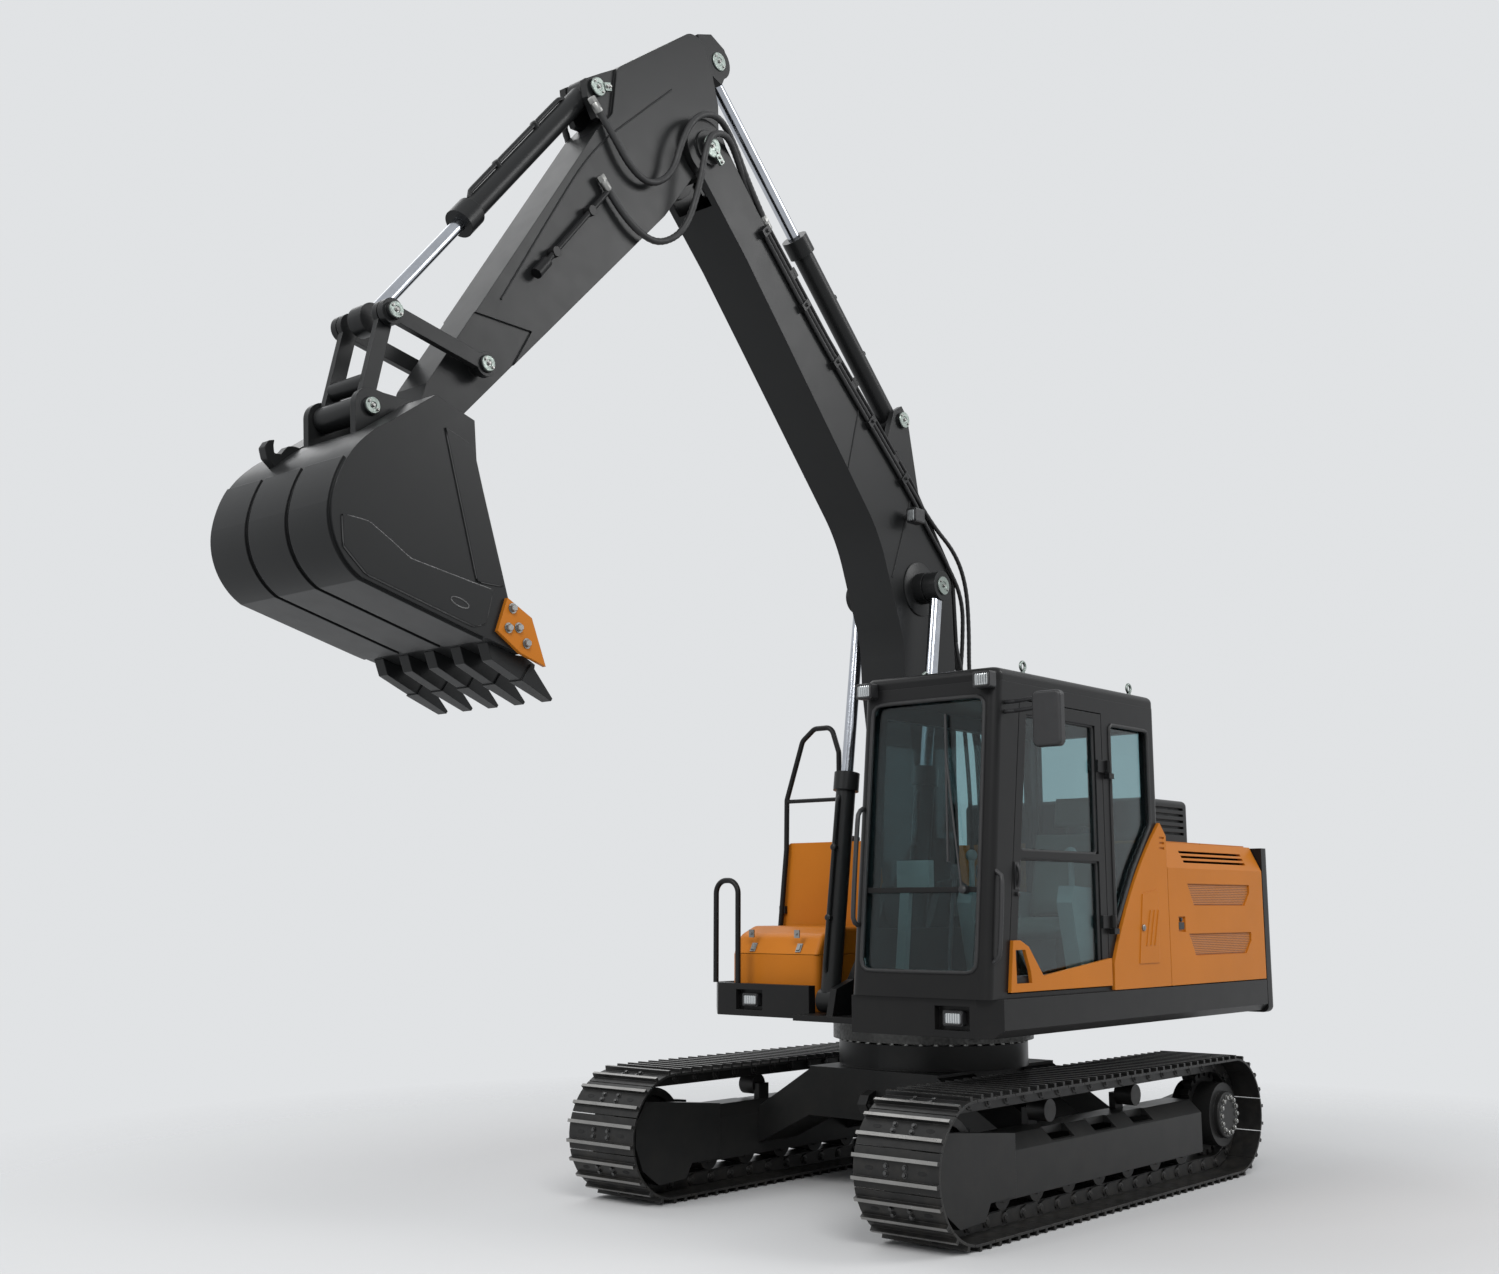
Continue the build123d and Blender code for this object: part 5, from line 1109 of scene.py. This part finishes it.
def add_bay_detail():
    """Mesh behind the grilles, paddle latches with locks, hatch latch and the muffler's inner screen."""
    for side, front, body in ((1, BAY_FRONT, "engine_door_left"), (-1, PUMP_FRONT, "pump_door_right")):
        mesh = Shape()
        ends = span(side, MESH_FACE - 0.004, MESH_FACE + 0.002)
        for low, high in MESH_SPANS:
            mesh.box((BAY_REAR + MESH_MARGIN, ends[0], low), (front - MESH_MARGIN, ends[1], high))
        mesh.piece(f"grille_mesh_{body}", "grille_mesh", body)
        sheet = Shape()
        margins = GRILLE_MARGINS[body]
        rear = BAY_REAR + margins[0] + GRILLE_RIM
        ahead = front - margins[1] - GRILLE_RIM
        for low in GRILLE_LOWS:
            foot = low + GRILLE_RIM
            top = low + GRILLE_HEIGHT - GRILLE_RIM
            outline = [
                (rear, top), (rear, low + GRILLE_BEVEL), (rear + GRILLE_BEVEL, foot),
                (ahead - GRILLE_BEVEL, foot), (ahead, top),
            ]
            sheet.prism(rounded(outline, 0.015), *span(side, POCKET_FACE - 0.001, POCKET_FACE + 0.003))
        sheet.piece(f"grille_sheet_{body}", "grille_punched", body)
        latch = Shape()
        x = front - LATCH_X
        paddle = rectangle((x - LATCH_HALF, LATCH_Z - 0.03), (x + LATCH_HALF, LATCH_Z + 0.012))
        latch.prism(rounded(paddle, 0.01), *span(side, POCKET_FACE, POCKET_FACE + 0.009))
        lock = [(0.012, 0), (0.012, 0.01), (0.009, 0.012)]
        latch.spin(lock, (x, side * POCKET_FACE, LATCH_Z + 0.027), (0, side, 0), 20)
        latch.piece(f"latch_{body}", "black_plastic", body)
    hatch = Shape()
    hatch.spin([(0.018, 0), (0.018, 0.008), (0.014, 0.011)], (-0.30, SKIN + 0.005, 1.50), (0, 1, 0), 24)
    hatch.box((-0.303, SKIN + 0.015, 1.488), (-0.297, SKIN + 0.018, 1.512))
    hatch.piece("hatch_lock", "bolt_steel", "upper")
    low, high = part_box("muffler_cover")
    screen = Shape()
    for y in (low.y + 0.022, high.y - 0.028):
        screen.box((low.x + 0.08, y, low.z + 0.03), (high.x - 0.08, y + 0.006, high.z - 0.045))
    screen.piece("muffler_screens", "grille_mesh", "upper")


# Right side
CAP = ((0.062, 0), (0.062, 0.012), (0.055, 0.016), (0.055, 0.04), (0.048, 0.048), (0.012, 0.05))
CAP_RADIUS = 0.055
CAP_RIB = ((0.005, 0), (0.005, 0.02), (0.003, 0.023))
LID_KNEE = (0.455, 1.45)
CATCH_YS = (-0.98, -0.62)
CATCH_STEPS = (
    (0.02, ((0.012, -0.002), (0.07, -0.002), (0.07, 0.006), (0.012, 0.006))),
    (0.012, ((0.018, 0.004), (0.062, 0.004), (0.058, 0.013), (0.022, 0.013))),
)


def add_right_side():
    """Filler cap, tool box catches and their keepers."""
    low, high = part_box("fuel_tank")
    cap = Shape()
    centre = ((low.x + high.x) / 2, (low.y + high.y) / 2, high.z)
    cap.spin(CAP, centre, (0, 0, 1), 32)
    for a in turns(16):
        rib = Vector(centre) + Vector((CAP_RADIUS * math.cos(a), CAP_RADIUS * math.sin(a), 0.018))
        cap.spin(CAP_RIB, rib, (0, 0, 1), 8)
    cap.piece("filler_cap", "black_plastic", "upper")
    catch = Shape()
    keeper = Shape()
    box_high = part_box("tool_box")[1]
    lid_low, lid_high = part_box("tool_box_lid")
    foot = Vector((lid_high.x, lid_low.z))
    rise = (Vector(LID_KNEE) - foot).normalized()
    out = Vector((rise.y, -rise.x))
    for y in CATCH_YS:
        for half, steps in CATCH_STEPS:
            catch.prism([foot + rise * along + out * height for along, height in steps], y - half, y + half)
        keeper.box(
            (box_high.x - 0.001, y - 0.02, box_high.z - 0.06),
            (box_high.x + 0.006, y + 0.02, box_high.z - 0.012),
        )
        keeper.bolt((box_high.x + 0.005, y, box_high.z - 0.036), (1, 0, 0), 0.007)
    catch.piece("tool_box_catches", "bolt_steel", "tool_box_lid")
    keeper.piece("tool_box_keepers", "bolt_steel", "upper")


# Finishes of the carried-over nodes
ROOF_SKIN = CAB_TOP + 0.071
# Faces beyond this radius are the grouser tops, lightened as painted highlight and worn steel.
WORN_HIGHLIGHT_RADIUS = PLATE_RADIUS + GROUSER_HEIGHT - 0.002


def dress_nodes():
    """Give every carried-over node the finish of its slot."""
    slots = {row["node"]: row["material_slot"] for row in frame["record"]["subparts"]}
    for name, node in NODES.items():
        node.data.materials.clear()
        node.data.materials.append(MATERIALS[slots[name]])


def repaint(name, material, chosen=lambda centre: True):
    """Another finish on the faces of a node that are chosen by their centre, or on all."""
    data = NODES[name].data
    data.materials.append(MATERIALS[material])
    for polygon in data.polygons:
        if chosen(polygon.center):
            polygon.material_index = len(data.materials) - 1


def repaint_details():
    """Painted rod eyes, bright roof eyes, dark lamp housings, grey consoles, and lighter grouser tops that are
    worn steel and painted highlight.
    """
    for name, eye, reach in (
        ("boom_cylinder_rods", BOOM_CYLINDER_EYE, 0.1), ("arm_cylinder_rod", ARM_CYLINDER_EYE, 0.085),
        ("bucket_cylinder_rod", LINK_TOP, 0.08),
    ):
        repaint(name, "charcoal_paint", lambda c: math.hypot(c.x - eye.x, c.z - eye.z) < reach)
    repaint("cab_roof", "pin_disc", lambda c: c.z > ROOF_SKIN)
    repaint("work_lamps", "black_plastic")
    repaint("boom_lamp", "black_plastic")
    repaint("consoles", "console_grey")
    for name in ("track_left", "track_right"):
        # Lighter bare steel on the grouser tops: worn steel and painted highlight.
        repaint(name, "shoe_top_worn_highlight", lambda c: track_radius(c) > WORN_HIGHLIGHT_RADIUS)


# Stage
BACKDROP = (0.752, 0.767, 0.782)
SKY = (0.93, 0.96, 1.0)
SKY_STRENGTH = 0.45
FLOOR_RADIUS = 30
FLOOR_Z = -0.002
FLOOR_FADE = (3.0, 7.0)
LAMPS = (
    ("key", (9, 9, 11), (0.5, 0, 2), (6, 6), 900),
    ("side", (-7, 10, 10), (-0.5, 0, 1.5), (6, 5), 570),
    ("front", (12, -3, 11), (1, 0, 2.5), (6, 5), 800),
    ("rim", (-1, -8, 12), (1.5, 0, 3), (8, 8), 260),
)


def make_ground(tree, shader):
    """Pale ground that fades into the backdrop."""
    fill(shader, {"Base Color": grey(0.68), "Roughness": 0.9})
    place = add_node(tree, "NewGeometry").outputs["Position"]
    distance = add_node(tree, "VectorMath", {0: place}, operation="LENGTH").outputs["Value"]
    values = {"Value": distance, "From Min": FLOOR_FADE[0], "From Max": FLOOR_FADE[1]}
    fade = add_node(tree, "MapRange", values)
    mix_shaders(fade.outputs[0], shader, add_node(tree, "BsdfTransparent"))


def make_floor():
    """Floor below the tracks."""
    bpy.ops.mesh.primitive_circle_add(
        vertices=96, radius=FLOOR_RADIUS, fill_type="NGON", location=(0, 0, FLOOR_Z)
    )
    floor = bpy.context.object
    floor.name = "floor"
    floor.data.materials.append(new_material("floor", make_ground))


def add_lamp(name, place, target, size, power):
    """Soft rectangular studio lamp aimed at a point."""
    data = bpy.data.lights.new(name, "AREA")
    data.shape = "RECTANGLE"
    data.size, data.size_y = size
    data.energy = power
    lamp = add_object(name, data)
    lamp.location = place
    aim(lamp, Vector(target) - Vector(place))


def make_light():
    """Lamps and a soft sky, with the pale backdrop where the camera, metal and glass look."""
    world = bpy.data.worlds.new("studio")
    bpy.context.scene.world = world
    world.use_nodes = True
    tree = world.node_tree
    sky = tree.nodes["Background"]
    fill(sky, {"Color": SKY, "Strength": SKY_STRENGTH})
    backdrop = add_node(tree, "Background", {"Color": BACKDROP, "Strength": 1.0})
    rays = add_node(tree, "LightPath").outputs
    seen = math_node("MAXIMUM", rays["Is Camera Ray"], rays["Is Transmission Ray"])
    seen = math_node("MAXIMUM", seen, rays["Is Glossy Ray"])
    mix_shaders(seen, sky, backdrop, "World Output")
    for lamp in LAMPS:
        add_lamp(*lamp)
    bpy.context.scene.view_settings.view_transform = "Standard"


make_camera()
make_light()
make_floor()
dress_nodes()
repaint_details()
add_pin_caps()
add_track_detail()
add_ring_bolts()
add_hoses()
add_boom_lines()
add_cylinder_lines()
add_boom_seams()
add_plates()
add_seals()
add_cab_fittings()
add_lamp_lenses()
add_seat()
add_bay_detail()
add_right_side()
